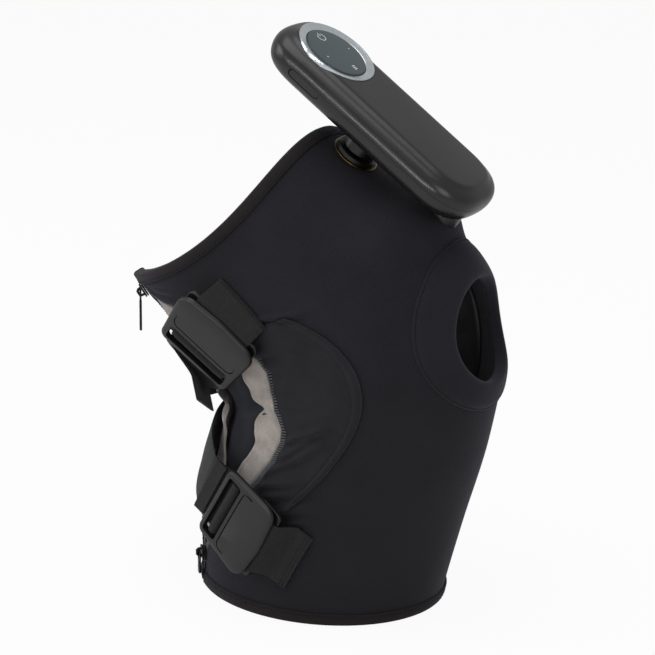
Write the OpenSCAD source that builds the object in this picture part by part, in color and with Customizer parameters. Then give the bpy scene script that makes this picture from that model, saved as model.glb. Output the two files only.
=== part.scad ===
// Knee sleeve that warms or cools the joint, with a clip-on control pod.
// Millimetres, +Z up, the kneecap faces -Y, the wearer's right side is -X.
// The origin is the centre of the calf opening, and the calf hem stands on z = 0.

/* [Leg sections] */
// Each section is [front y, front z, back y, back z, half width].
// Section at the calf hem
calf_hem = [-74, 0, 74, 0, 61]; // [-150:1:300]
// Section through the upper calf
calf_mid = [-88, 52, 75, 42, 60]; // [-150:1:300]
// Section just under the kneecap
knee_low = [-103, 104, 67, 78, 60]; // [-150:1:300]
// Section through the kneecap and the crease behind the knee
knee_mid = [-111, 152, 60, 108, 60]; // [-150:1:300]
// Section just above the kneecap
knee_top = [-105, 190, 72, 129, 61]; // [-150:1:300]
// Section at the start of the thigh
thigh_low = [-82, 220, 91, 146, 62]; // [-150:1:300]
// Section through the thigh under the pod
thigh_mid = [-41, 248, 106, 163, 62]; // [-150:1:300]
// Section at the thigh hem
thigh_hem = [2, 274, 118, 180, 62]; // [-150:1:300]
// How far the thigh hem dips at the sides, as a share of the sleeve's length
hem_dip = 0.08; // [0:0.01:0.12]

/* [Sleeve fabric] */
// Thickness of the outer fabric
fabric_t = 2; // [1:0.1:4]
// Thickness of the lining
lining_t = 1; // [0.6:0.1:2]
// Gap between sewn layers
layer_gap = 0.15; // [0.1:0.01:0.2]
// Gap between a sewn layer and a more curved one under it
wide_gap = 0.3; // [0.25:0.01:0.4]
// Angle from the kneecap's middle to the side seams
seam_a = 35; // [32:1:42]
// Height of the hem bindings
binding_h = 7; // [4:0.5:12]
// Thickness of the hem bindings
binding_t = 0.9; // [0.6:0.1:2]
// Thickness of the knee gussets
gusset_t = 0.7; // [0.4:0.1:1.5]

/* [Kneecap pad] */
// Height of the kneecap hole, along the leg, as a share of the sleeve
hole_span = 0.218; // [0.12:0.002:0.24]
// Half angle of the kneecap hole
hole_a = 27; // [15:1:29]
// Middle of the kneecap hole, as a share of the sleeve from the calf hem
hole_k = 0.514; // [0.45:0.002:0.55]
// Height of the pad round the hole, as a share of the sleeve
pad_span = 0.36; // [0.3:0.01:0.44]
// Half angle of the pad
pad_a = 46; // [36:1:54]
// Middle of the pad, as a share of the sleeve
pad_k = 0.535; // [0.48:0.005:0.58]
// How far the pad stands out from the fabric
pad_t = 3; // [1.5:0.1:5]

/* [Zip] */
// Width of one zip tape beyond the fabric's edge
tape_w = 1.8; // [1:0.1:1.9]
// Thickness of the zip tape
tape_t = 0.7; // [0.4:0.1:1]
// Width of one row of teeth
teeth_w = 1.4; // [1:0.1:1.8]
// Height of the teeth
teeth_h = 1.8; // [1:0.1:2.5]
// Number of teeth in a row
teeth_n = 32; // [20:2:48]
// Width of the fleece guard beside the zip
guard_w = 21; // [12:1:24]
// Thickness of the fleece guard
guard_t = 1.2; // [0.8:0.1:2]
// Lengths of the lower and the upper zip pull
pull_l = [13, 22]; // [10:1:28]
// Width of a zip pull
pull_w = 4; // [3:0.5:7]

/* [Straps and clips] */
// Width of the webbing
web_w = 38; // [25:1:40]
// Thickness of the webbing
web_t = 1.4; // [1:0.1:1.6]
// Length of a clip across its strap, at its anchor end
clip_l = 54; // [52:1:58]
// Width of a clip along its strap
clip_w = 41; // [39:1:46]
// Thickness of a clip's plate
clip_t = 4; // [3:0.5:6]
// Radius of the bar that the strap goes round
bar_r = 2; // [1.5:0.1:2.4]
// Heights of the upper and the lower clip's plate above the sleeve
clip_rise = [10.5, 9]; // [8.5:0.5:13]
// Tilt of the upper clip, which leans out at its upper end
upper_tilt = 8; // [0:1:9]
// Place of the upper clip, as [share of the sleeve, angle from the kneecap]
upper_clip_at = [0.74, 112.5]; // [0:0.5:180]
// Place of the lower clip, as [share of the sleeve, angle from the kneecap]
lower_clip_at = [0.195, 107]; // [0:0.5:180]
// Slope of the lower strap across the calf
lower_slope = -18; // [-25:1:0]

/* [Pod] */
// Length of the pod
pod_l = 149; // [136:1:160]
// Width of the pod
pod_w = 60; // [54:1:66]
// Thickness of the pod
pod_t = 21.5; // [19:0.5:26]
// Tilt of the pod's face from level
pod_tilt = 35.3; // [30:0.1:42]
// Height of the pod's mid plane above the sleeve at the upper snap
pod_rise = 29.3; // [27:0.1:35]
// Wall of the pod's case
case_wall = 2.6; // [1.8:0.1:3.5]
// Height of the joint line above the pod's mid plane
part_z = 0.5; // [-1:0.1:1]
// Distance from the pod's middle to the control disc
disc_y = 43.3; // [40:0.1:44]
// Radius of the control disc
disc_r = 18.6; // [15:0.1:19]
// Thickness of the control disc
disc_t = 1.4; // [1:0.1:2]
// Width of the metal ring round the disc
bezel_w = 4.9; // [3:0.1:5]
// How far the metal ring stands above the pod's face
bezel_rise = 0.9; // [0.4:0.1:1.6]
// Clearance round moving plastic parts
fit_gap = 0.3; // [0.2:0.05:0.5]

/* [Snaps] */
// Distance from the kneecap pad's upper edge to the lower snap, as a share of the sleeve
snap_above_pad = 0.04; // [0.03:0.005:0.06]
// Place of the upper snap along the kneecap line, as a share of the sleeve
upper_snap_k = 0.925; // [0.9:0.005:0.95]
// Radius of a snap socket
snap_r = 13.5; // [9:0.5:14]
// Height of a snap socket
snap_h = 4.5; // [3:0.5:6]
// Radius of a snap stud's post
post_r = 3; // [2:0.1:4]
// Depth that a post enters its socket
post_depth = 2.6; // [1.5:0.1:2.8]

/* [Power inlet] */
// Length of the rubber cover over the inlet
cover_l = 22; // [14:1:26]
// Height of the rubber cover
cover_h = 4.4; // [4:0.1:5.5]
// Place of the cover's middle along the pod
cover_y = 39; // [30:1:42]

/* [Hidden] */

leg = [calf_hem, calf_mid, knee_low, knee_mid, knee_top, thigh_low, thigh_mid, thigh_hem];
steps = 32;

// ---- the leg's surface ----
function mix(a, b, t) = a + (b - a) * t;
function curve(a, b, c, d, t) =
    b + 0.5 * t * (c - a + t * (2 * a - 5 * b + 4 * c - d + t * (3 * (b - c) + d - a)));
function section(u) =
    let (
        n = len(leg) - 1,
        t = min(max(u, 0), 1) * n,
        i = min(floor(t), n - 1),
        p = leg[i],
        q = leg[i + 1],
        before = i == 0 ? 2 * p - q : leg[i - 1],
        after = i == n - 1 ? 2 * q - p : leg[i + 2]
    )
    curve(before, p, q, after, t - i);
function hem_share(a) = 1 - hem_dip * pow(sin(a), 2) * (1 - 0.3 * cos(a));

// A point at share k of the sleeve, angle a from the kneecap, r outside the fabric's face
function skin(k, a, r) =
    let (
        s = section(k * hem_share(a)),
        depth = [s[0] - s[2], s[1] - s[3]] / 2,
        half = norm(depth),
        reach = (half + r) * cos(a) / half
    )
    [-(s[4] + r) * sin(a), (s[0] + s[2]) / 2 + reach * depth[0],
     (s[1] + s[3]) / 2 + reach * depth[1]];

function unit(v) = v / norm(v);
nudge = 0.002;
function along(k, a) = (skin(k + nudge, a, 0) - skin(k - nudge, a, 0)) / (2 * nudge);
function around(k, a) = (skin(k, a + 1, 0) - skin(k, a - 1, 0)) / 2;
function outward(k, a) = unit(cross(along(k, a), around(k, a)));
// Share of the sleeve, and angle, that one millimetre takes up
function share_mm(k, a) = 1 / norm(along(k, a));
function angle_mm(k, a) = 1 / norm(around(k, a));

// ---- meshes ----
function flat(rows) = [for (row = rows) for (p = row) p];
function quad(a, b, c, d) = [[a, b, c], [a, c, d]];

// A closed sheet between two grids of points. Rows go up the leg, columns away from the kneecap.
module slab(top, bottom) {
    nr = len(top);
    nc = len(top[0]);
    n = nr * nc;
    faces = concat(
        [for (i = [0:nr - 2]) for (j = [0:nc - 2])
            for (t = quad(i * nc + j, i * nc + j + 1, (i + 1) * nc + j + 1, (i + 1) * nc + j)) t],
        [for (i = [0:nr - 2]) for (j = [0:nc - 2])
            for (t = quad(n + i * nc + j, n + (i + 1) * nc + j, n + (i + 1) * nc + j + 1,
                          n + i * nc + j + 1)) t],
        [for (j = [0:nc - 2]) for (t = quad(j + 1, j, n + j, n + j + 1)) t],
        [for (j = [0:nc - 2]) let (b = (nr - 1) * nc + j)
            for (t = quad(b, b + 1, n + b + 1, n + b)) t],
        [for (i = [0:nr - 2]) let (a = i * nc)
            for (t = quad(a, a + nc, n + a + nc, n + a)) t],
        [for (i = [0:nr - 2]) let (d = i * nc + nc - 1)
            for (t = quad(d + nc, d, n + d, n + d + nc)) t]
    );
    polyhedron(concat(flat(top), flat(bottom)), faces, convexity = 8);
}

// The same, where each row is a closed loop
module loop_slab(top, bottom) {
    nr = len(top);
    nc = len(top[0]);
    n = nr * nc;
    function after(j) = (j + 1) % nc;
    faces = concat(
        [for (i = [0:nr - 2]) for (j = [0:nc - 1])
            for (t = quad(i * nc + j, i * nc + after(j), (i + 1) * nc + after(j),
                          (i + 1) * nc + j)) t],
        [for (i = [0:nr - 2]) for (j = [0:nc - 1])
            for (t = quad(n + i * nc + j, n + (i + 1) * nc + j, n + (i + 1) * nc + after(j),
                          n + i * nc + after(j))) t],
        [for (j = [0:nc - 1]) for (t = quad(after(j), j, n + j, n + after(j))) t],
        [for (j = [0:nc - 1]) let (b = (nr - 1) * nc)
            for (t = quad(b + j, b + after(j), n + b + after(j), n + b + j)) t]
    );
    polyhedron(concat(flat(top), flat(bottom)), faces, convexity = 8);
}

// A solid through a list of closed outlines that all have the same number of points
module loft(outlines) {
    nr = len(outlines);
    nc = len(outlines[0]);
    last = (nr - 1) * nc;
    function after(j) = (j + 1) % nc;
    faces = concat(
        [for (i = [0:nr - 2]) for (j = [0:nc - 1])
            for (t = quad(i * nc + j, (i + 1) * nc + j, (i + 1) * nc + after(j),
                          i * nc + after(j))) t],
        [[for (j = [0:nc - 1]) j]],
        [[for (j = [nc - 1:-1:0]) last + j]]
    );
    polyhedron(flat(outlines), faces, convexity = 6);
}

// Rows of the sleeve between two shares of its length, on the same lines for every layer
function rows(k0, k1) =
    concat([k0], [for (i = [0:steps]) let (k = i / steps) if (k > k0 + 0.004 && k < k1 - 0.004) k],
           [k1]);
// A grid over part of the sleeve: lo and hi are functions that give the angles at a share
function grid(ks, lo, hi, nc, r) =
    [for (k = ks) [for (j = [0:nc]) skin(k, mix(lo(k), hi(k), j / nc), r)]];
module layer(ks, lo, hi, nc, r0, r1) {
    slab(grid(ks, lo, hi, nc, r1), grid(ks, lo, hi, nc, r0));
}

// ---- depths of the layers, from the fabric's face inwards ----
film_t = 0.35;
film_out = -fabric_t - layer_gap - wide_gap;
film_in = film_out - film_t;
lining_out = film_in - layer_gap;
lining_in = lining_out - lining_t;
tape_out = -fabric_t - wide_gap - layer_gap;
guard_out = tape_out - tape_t - layer_gap;
guard_in = guard_out - guard_t;
insert_out = guard_in - wide_gap;
insert_t = 1.2;
insert_in = insert_out - insert_t;

// ---- lines on the sleeve, as [share, angle] ----
snap_k = [pad_k + pad_span / 2 + snap_above_pad, upper_snap_k];
closed_a = 3.4;
right_zip = [
    [0, 141], [0.06, 140.5], [0.105, 134], [0.22, 114], [0.28, 106], [0.335, 100], [0.385, 97.5],
    [0.416, 98], [0.468, 102.5], [0.53, 102.5], [0.587, 101], [0.631, 102], [0.74, 111],
    [0.85, 126], [0.915, 140], [0.945, 147.5], [1, 148.5]
];
left_zip = [
    [0, 141 + closed_a], [0.06, 140.5 + closed_a], [0.15, 156], [0.3, 170], [0.5, 174],
    [0.7, 170], [0.85, 162], [0.915, 154], [0.945, 147.5 + closed_a], [1, 148.5 + closed_a]
];
function right_edge(k) = lookup(k, right_zip);
function left_edge(k) = lookup(k, left_zip);
edge_k = 0.006;
hem_k0 = edge_k;
hem_k1 = 1 - edge_k;
seam_gap = 0.25;

// The angle that w millimetres take up at share k near angle a
function wide(w, k, a) = w * angle_mm(min(max(k, 0.01), 0.99), a);

module front_panel() {
    color([0.1, 0.1, 0.12])
        hole_sheet(hole_k, hole_span / 2, hole_a, seam_a - seam_gap, hem_k0, hem_k1, -fabric_t, 0,
                   48, 8);
}
module front_lining() {
    color([0.33, 0.32, 0.33])
        hole_sheet(hole_k, hole_span / 2 + 0.004, hole_a + 0.5, seam_a - seam_gap, hem_k0, hem_k1,
                   lining_in, lining_out, 32, 7);
}

// A sheet from the kneecap hole out to the side seams and the hems
module hole_sheet(kc, kh, ah, side, k0, k1, r0, r1, nt, nr) {
    function edge(t) =
        let (s = 1 / max(abs(sin(t)), abs(cos(t))))
        [cos(t) > 0 ? mix(kc, k1, s * cos(t)) : mix(kc, k0, -s * cos(t)), side * s * sin(t)];
    function at(i, j) =
        let (t = 360 * j / nt, h = [kc + kh * cos(t), ah * sin(t)])
        mix(h, edge(t), i / nr);
    function pts(r) = [for (i = [0:nr]) [for (j = [0:nt - 1]) skin(at(i, j)[0], at(i, j)[1], r)]];
    loop_slab(pts(r1), pts(r0));
}

module right_side_panel() {
    color([0.11, 0.11, 0.13])
        layer(rows(hem_k0, hem_k1), function (k) seam_a + seam_gap,
              function (k) right_edge(k), 11, -fabric_t, 0);
}
module left_side_panel() {
    color([0.11, 0.11, 0.13])
        layer(rows(hem_k0, hem_k1), function (k) left_edge(k),
              function (k) 360 - seam_a - seam_gap, 18, -fabric_t, 0);
}

lining_back = 9;
module right_lining() {
    color([0.36, 0.35, 0.36])
        layer(rows(hem_k0, hem_k1), function (k) seam_a + seam_gap,
              function (k) right_edge(k) - lining_back, 8, lining_in, lining_out);
}
module left_lining() {
    color([0.36, 0.35, 0.36])
        layer(rows(hem_k0, hem_k1), function (k) left_edge(k) + lining_back,
              function (k) 360 - seam_a - seam_gap, 13, lining_in, lining_out);
}

// ---- kneecap pad: a raised ring with soft edges ----
module patella_pad() {
    nt = 36;
    profile = [[0, 0.35], [0.14, 0.9], [0.35, 1], [0.72, 1], [0.9, 0.75], [1, 0.25]];
    function at(f, t) =
        mix([hole_k + hole_span / 2 * cos(t), hole_a * sin(t)],
            [pad_k + pad_span / 2 * cos(t), pad_a * sin(t)], f);
    function ring(f, r) = [for (j = [0:nt - 1]) let (p = at(f, 360 * j / nt)) skin(p[0], p[1], r)];
    color([0.13, 0.13, 0.15])
        loop_slab([for (p = profile) ring(p[0], wide_gap + (pad_t - wide_gap) * p[1])],
                  [for (p = profile) ring(p[0], wide_gap)]);
}

// ---- perforated gussets beside the knee ----
gusset_k = [0.206, 0.46, 0.735];
gusset_front = 68;
gusset_sweep = [26, 15];
gusset_in = wide_gap - 0.05;
gusset_out = gusset_in + gusset_t;
function gusset_edge(k) =
    k < gusset_k[1]
        ? gusset_front + gusset_sweep[0] * pow((gusset_k[1] - k) / (gusset_k[1] - gusset_k[0]), 2)
        : gusset_front + gusset_sweep[1] * pow((k - gusset_k[1]) / (gusset_k[2] - gusset_k[1]), 2);
module right_knee_gusset() {
    color([0.09, 0.09, 0.1])
        layer(rows(gusset_k[0], gusset_k[2]), function (k) gusset_edge(k),
              function (k) right_edge(k) - 1.5, 4, gusset_in, gusset_out);
}
// The left gusset is a lens, because the zip is further round on that side
gusset_back = 250;
gusset_back_sweep = [13, 24];
function gusset_back_edge(k) =
    k < gusset_k[1]
        ? gusset_back + gusset_back_sweep[0] * pow((gusset_k[1] - k) / (gusset_k[1] - gusset_k[0]), 2)
        : gusset_back + gusset_back_sweep[1] * pow((k - gusset_k[1]) / (gusset_k[2] - gusset_k[1]), 2);
module left_knee_gusset() {
    color([0.09, 0.09, 0.1])
        layer(rows(gusset_k[0], gusset_k[2]), function (k) gusset_back_edge(k),
              function (k) 360 - gusset_edge(k), 4, gusset_in, gusset_out);
}

// ---- hem bindings: a folded tape round the edge of the fabric and the lining ----
fold_gap = 0.6;
binding_in = lining_in - fold_gap;
module binding(k_edge, way) {
    turn = 360 - left_edge(k_edge) + right_edge(k_edge);
    n = 40;
    function section_at(a) =
        let (
            kc = k_edge == 0 ? 0.02 : 0.98,
            d = binding_h * share_mm(kc, a) * way,
            e = k_edge + (edge_k - 0.002) * way,
            tip = k_edge + d,
            o = fold_gap + binding_t,
            i = binding_in - binding_t
        )
        [skin(k_edge, a, o), skin(tip, a, o), skin(tip, a, fold_gap), skin(e, a, fold_gap),
         skin(e, a, binding_in), skin(tip, a, binding_in), skin(tip, a, i), skin(k_edge, a, i)];
    first = left_edge(k_edge) + 1 - 360;
    secs = [for (j = [0:n]) section_at(first + (turn - 2) * j / n)];
    cap = [[0, 1, 2], [0, 2, 3], [0, 3, 4], [0, 4, 7], [7, 4, 5], [7, 5, 6]];
    last = n * 8;
    faces = concat(
        [for (j = [0:n - 1]) for (m = [0:7])
            for (t = quad(j * 8 + m, j * 8 + (m + 1) % 8, (j + 1) * 8 + (m + 1) % 8,
                          (j + 1) * 8 + m)) t],
        [for (c = cap) [c[2], c[1], c[0]]],
        [for (c = cap) [last + c[0], last + c[1], last + c[2]]]
    );
    polyhedron(flat(secs), way > 0 ? [for (f = faces) [f[2], f[1], f[0]]] : faces, convexity = 8);
}
module thigh_binding() {
    color([0.13, 0.11, 0.1]) binding(1, -1);
}
module calf_binding() {
    color([0.12, 0.11, 0.11]) binding(0, 1);
}

// ---- what lies behind the open zip ----
open_k = [0.05, 0.945];
module popliteal_insert() {
    under = 8;
    color([0.16, 0.17, 0.22])
        layer(rows(open_k[0], open_k[1]), function (k) right_edge(k) - wide(under, k, 100),
              function (k) left_edge(k) + wide(under, k, 170), 6, insert_in, insert_out);
}
function guard_reach(k) = min(guard_w, (left_edge(k) - right_edge(k)) / angle_mm(k, 135) / 2 - 1.5);
guard_k = [0.12, 0.9];
module right_zip_guard() {
    color([0.5, 0.47, 0.45])
        layer(rows(guard_k[0], guard_k[1]), function (k) right_edge(k) - wide(3, k, 100),
              function (k) right_edge(k) + wide(guard_reach(k), k, 110), 3, guard_in, guard_out);
}
module left_zip_guard() {
    color([0.5, 0.47, 0.45])
        layer(rows(guard_k[0], guard_k[1]),
              function (k) left_edge(k) - wide(guard_reach(k), k, 165),
              function (k) left_edge(k) + wide(3, k, 170), 3, guard_in, guard_out);
}

// ---- zip ----
tape_in = 6;
module right_zip_tape() {
    color([0.08, 0.08, 0.09])
        layer(rows(hem_k0, hem_k1), function (k) right_edge(k) - wide(tape_in, k, 100),
              function (k) right_edge(k) + wide(tape_w, k, 130), 2, tape_out - tape_t, tape_out);
}
module left_zip_tape() {
    color([0.08, 0.08, 0.09])
        layer(rows(hem_k0, hem_k1), function (k) left_edge(k) - wide(tape_w, k, 130),
              function (k) left_edge(k) + wide(tape_in, k, 170), 2, tape_out - tape_t, tape_out);
}
// A row of teeth: low and high stations take turns along the tape's edge
module teeth(edge, away) {
    n = 2 * teeth_n;
    ks = [for (i = [0:n]) mix(0.02, 0.98, i / n)];
    function side(k, w) = edge(k) + away * wide(w, k, 130);
    seat = tape_out + layer_gap + 0.05;
    function top(i) = seat + (i % 2 == 0 ? 0.6 : 1) * teeth_h;
    near = 0.6;
    far = near + teeth_w;
    lo = away > 0 ? near : far;
    hi = away > 0 ? far : near;
    slab([for (i = [0:n]) [skin(ks[i], side(ks[i], lo), top(i)), skin(ks[i], side(ks[i], hi), top(i))]],
         [for (i = [0:n]) [skin(ks[i], side(ks[i], lo), seat), skin(ks[i], side(ks[i], hi), seat)]]);
}
module right_zip_teeth() {
    color([0.15, 0.15, 0.16]) teeth(function (k) right_edge(k), 1);
}
module left_zip_teeth() {
    color([0.15, 0.15, 0.16]) teeth(function (k) left_edge(k), -1);
}

// A frame on the sleeve, as [x, y, z, origin]: z points out of the fabric, y up the leg and x
// towards the kneecap, turned about z by an angle
function skin_frame(k, a, r, turn = 0) =
    let (
        z = outward(k, a),
        y0 = unit(along(k, a) - (along(k, a) * z) * z),
        x0 = cross(y0, z),
        x = cos(turn) * x0 + sin(turn) * y0
    )
    [x, cross(z, x), z, skin(k, a, 0) + r * z];
function place(f, p) = p[0] * f[0] + p[1] * f[1] + p[2] * f[2] + f[3];
module in_frame(f) {
    multmatrix([for (i = [0:2]) [for (m = [0:3]) f[m][i]]]) children();
}
module on_skin(k, a, r, turn = 0) {
    in_frame(skin_frame(k, a, r, turn)) children();
}

// ---- zip sliders and their pulls ----
slider_k = [0.067, 0.926];
slider_w = 7;
slider_l = 7.5;
slider_h = 2.2;
slider_rise = teeth_h + 0.35 - fabric_t;
pull_t = 1.2;
eye_r = 0.9;
function zip_middle(k) = (right_edge(k) + left_edge(k)) / 2;
pull_lift = 2.1;
module slider(way) {
    color([0.3, 0.3, 0.31]) difference() {
        union() {
            linear_extrude(slider_h)
                polygon([[-slider_w / 2, way * slider_l / 2], [slider_w / 2, way * slider_l / 2],
                         [slider_w / 2 - 1, -way * slider_l / 2],
                         [1 - slider_w / 2, -way * slider_l / 2]]);
            translate([-1.6, -1.6, slider_h - 0.1]) cube([3.2, 3.2, pull_lift + 0.8]);
        }
        translate([0, 0, slider_h + pull_lift - eye_r]) rotate([0, 90, 0])
            cylinder(r = eye_r + 0.06, h = 10, center = true, $fn = 32);
    }
}
// A pull hangs from the slider's eye
module pull(i) {
    k = slider_k[i];
    a = zip_middle(k);
    color([0.27, 0.27, 0.28]) union() {
        on_skin(k, a, slider_rise + slider_h + pull_lift - eye_r)
            rotate([0, 90, 0]) cylinder(r = eye_r, h = pull_w + 1.2, center = true, $fn = 32);
        on_skin(k, a, slider_rise + slider_h + pull_lift - eye_r) pull_blade(k, a, pull_l[i]);
    }
}
// The blade lies in the plane of the eye's pin and the downward direction
module pull_blade(k, a, long) {
    f = skin_frame(k, a, 0);
    tip = atan2(-f[2][2], -f[1][2]);
    side = pull_w / 2 + 0.4;
    rotate([tip, 0, 0]) {
        for (s = [-1, 1])
            translate([s * side - 0.4, -0.6, -pull_t / 2]) cube([0.8, 5.2, pull_t]);
        translate([-side - 0.4, 4, -pull_t / 2]) cube([2 * side + 0.8, 1.4, pull_t]);
        translate([0, 0, -pull_t / 2]) linear_extrude(pull_t)
            polygon([[-1.3, 5], [1.3, 5], [pull_w / 2, long - 3], [pull_w / 2 - 0.8, long],
                     [0.8 - pull_w / 2, long], [-pull_w / 2, long - 3]]);
    }
}
module upper_zip_slider() {
    on_skin(slider_k[1], zip_middle(slider_k[1]), slider_rise) slider(1);
}
module lower_zip_slider() {
    on_skin(slider_k[0], zip_middle(slider_k[0]), slider_rise) slider(-1);
}
module upper_zip_pull() {
    pull(1);
}
module lower_zip_pull() {
    pull(0);
}

// ---- clips: x points at the anchor, y along the bar, z away from the leg ----
function tilted(f, t) = [f[0], cos(t) * f[1] + sin(t) * f[2], cos(t) * f[2] - sin(t) * f[1], f[3]];
upper_frame = tilted(skin_frame(upper_clip_at[0], upper_clip_at[1], clip_rise[0]), upper_tilt);
lower_frame = skin_frame(lower_clip_at[0], lower_clip_at[1], clip_rise[1], lower_slope);
// The bar's place in the clip's frame, and the window that the strap goes through
bar_x = 9 - clip_w / 2;
bar_z = -0.4;
rim_wall = 3.4;
window_x = [rim_wall - clip_w / 2, bar_x + bar_r + 3.4];
window_l = web_w + 4;
// The plate is narrower at the window's end, and its other end is bowed
window_end_l = clip_l - 4;
bow = 1.5;
slit_x = window_x[1] + 3;
slit_l = clip_l - 11;
hook_x = clip_w / 2 - 9;
hook_t = 2.4;
hook_l = clip_l - 15;
hook_gap = 0.4;
receiver_x = [4.5, clip_w / 2 + 1];
receiver_z = [-4, -1.7];
receiver_l = clip_l - 5;
receiver_bar = 2.4;
receiver_slot = 2.6;
turn_in = bar_r + 0.3;
turn_out = turn_in + web_t;
// The line at the clip's edge where the webbing bends when the clip lifts
bend_x = -clip_w / 2 - 1;
bend_z = bar_z - turn_out + web_t / 2;

module plate(inset, t) {
    far = 9 - inset;
    near = 5 - inset;
    half = clip_l / 2 - 4;
    linear_extrude(t) hull() for (s = [-1, 1]) {
        translate([clip_w / 2 - 9, s * (clip_l / 2 - 9)]) circle(far, $fn = 48);
        translate([5 - clip_w / 2, s * (window_end_l / 2 - 5)]) circle(near, $fn = 32);
        translate([clip_w / 2 + bow - inset - half / 2, 0]) scale([0.5, 1]) circle(half, $fn = 96);
    }
}
module clip_body() {
    slit = 0.7;
    dome = 0.9;
    difference() {
        union() {
            plate(0, clip_t - dome);
            translate([0, 0, clip_t - dome - 0.01]) plate(1.3, dome);
            translate([hook_x - hook_t / 2, -hook_l / 2, receiver_z[0] + 0.6])
                cube([hook_t, hook_l, 1 - receiver_z[0] - 0.6]);
        }
        translate([window_x[0], -window_l / 2, -5])
            cube([window_x[1] - window_x[0], window_l, clip_t + 10]);
        translate([0, 0, clip_t - 0.8]) linear_extrude(2) difference() {
            offset(slit) tongue();
            tongue();
            translate([slit_x + 6, -clip_l / 2]) square([clip_w, clip_l]);
        }
    }
    translate([bar_x, 0, bar_z]) rotate([90, 0, 0])
        cylinder(r = bar_r, h = window_l + 2, center = true, $fn = 40);
    for (s = [-1, 1])
        translate([bar_x - bar_r, s * (window_l / 2 + 0.9) - 0.9, bar_z - bar_r])
            cube([2 * bar_r, 1.8, bar_r + 1]);
}
// The part of the plate inside the slit beside the window
module tongue() {
    r = 3;
    translate([slit_x + r, 0]) offset(r, $fn = 32) translate([0, -slit_l / 2 + r])
        square([12, slit_l - 2 * r]);
}
module receiver() {
    h = receiver_z[1] - receiver_z[0];
    room = hook_t + 2 * hook_gap + 1.5;
    translate([0, 0, receiver_z[0]]) difference() {
        translate([receiver_x[0], -receiver_l / 2, 0])
            cube([receiver_x[1] - receiver_x[0], receiver_l, h]);
        translate([hook_x - room / 2 - 0.75, -hook_l / 2 - hook_gap, -1])
            cube([room, hook_l + 2 * hook_gap, h + 2]);
        translate([receiver_x[1] - receiver_bar - receiver_slot, -web_w / 2 - 0.4, -1])
            cube([receiver_slot, web_w + 0.8, h + 2]);
    }
}
module upper_clip() {
    color([0.2, 0.2, 0.2]) in_frame(upper_frame) clip_body();
}
module lower_clip() {
    color([0.17, 0.17, 0.17]) in_frame(lower_frame) clip_body();
}
module upper_receiver() {
    color([0.15, 0.15, 0.15]) in_frame(upper_frame) receiver();
}
module lower_receiver() {
    color([0.15, 0.15, 0.15]) in_frame(lower_frame) receiver();
}

// ---- webbing ----
// The change of share and angle that a step v along the fabric makes
function step(k, a, v) =
    let (
        u = along(k, a),
        w = around(k, a),
        det = (u * u) * (w * w) - (u * w) * (u * w)
    )
    [((v * u) * (w * w) - (v * w) * (u * w)) / det, ((v * w) * (u * u) - (v * u) * (u * w)) / det];
// Stops along a line over the fabric, at steps of d millimetres, as [share, angle, slope]
function walk(k, a, slope, end_slope, d, n) =
    let (f = skin_frame(k, a, 0, slope), m = step(k, a, d * f[0]))
    n == 0 ? [[k, a, slope]]
           : concat([[k, a, slope]],
                    walk(k + m[0], a + m[1], mix(slope, end_slope, 1 / n), end_slope, d, n - 1));
web_cols = 4;
// One row of points across the webbing at a stop, r outside the fabric
function web_row(s, r) =
    let (f = skin_frame(s[0], s[1], 0, s[2]), m = step(s[0], s[1], f[1]))
    [for (j = [0:web_cols]) let (w = web_w * (j / web_cols - 0.5))
        skin(s[0] + w * m[0], s[1] + w * m[1], r)];
function frame_row(f, x, z) =
    [for (j = [0:web_cols]) place(f, [x, web_w * (j / web_cols - 0.5), z])];
function blend_rows(p, q, t) = [for (j = [0:web_cols]) mix(p[j], q[j], t)];

// Anchor webbing: sewn flat to the sleeve, then up and round the receiver's outer bar
anchor_step = 2.8;
anchor_first = ceil((receiver_x[1] + 5) / anchor_step);
anchor_n = [anchor_first + 1, anchor_first + 4];
module anchor(at, slope, f, n) {
    rise = gusset_out + layer_gap;
    start = receiver_x[1] + 1;
    line = walk(at[0], at[1], slope, slope, anchor_step, n);
    sewn = [for (i = [anchor_first:n]) line[i]];
    low = concat([frame_row(f, start, receiver_z[0] - 1.2)],
                 [for (s = sewn) web_row(s, rise)]);
    high = concat([frame_row(f, start, receiver_z[0] - 1.2 + web_t)],
                  [for (s = sewn) web_row(s, rise + web_t)]);
    slab(high, low);
    gap = 0.2;
    wrap = 1.2;
    x0 = receiver_x[1] - receiver_bar - gap;
    x1 = receiver_x[1] + gap;
    in_frame(f) rotate([90, 0, 0]) linear_extrude(web_w, center = true) difference() {
        translate([x0 - wrap, receiver_z[0] - gap - wrap])
            square([x1 - x0 + 2 * wrap, receiver_z[1] - receiver_z[0] + 2 * (gap + wrap)]);
        translate([x0, receiver_z[0] - gap])
            square([x1 - x0, receiver_z[1] - receiver_z[0] + 2 * gap]);
    }
}
module upper_anchor_web() {
    color([0.14, 0.14, 0.14]) anchor(upper_clip_at, 0, upper_frame, anchor_n[0]);
}
module lower_anchor_web() {
    color([0.14, 0.14, 0.14])
        anchor(lower_clip_at, lower_slope, lower_frame, anchor_n[1]);
}

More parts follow.
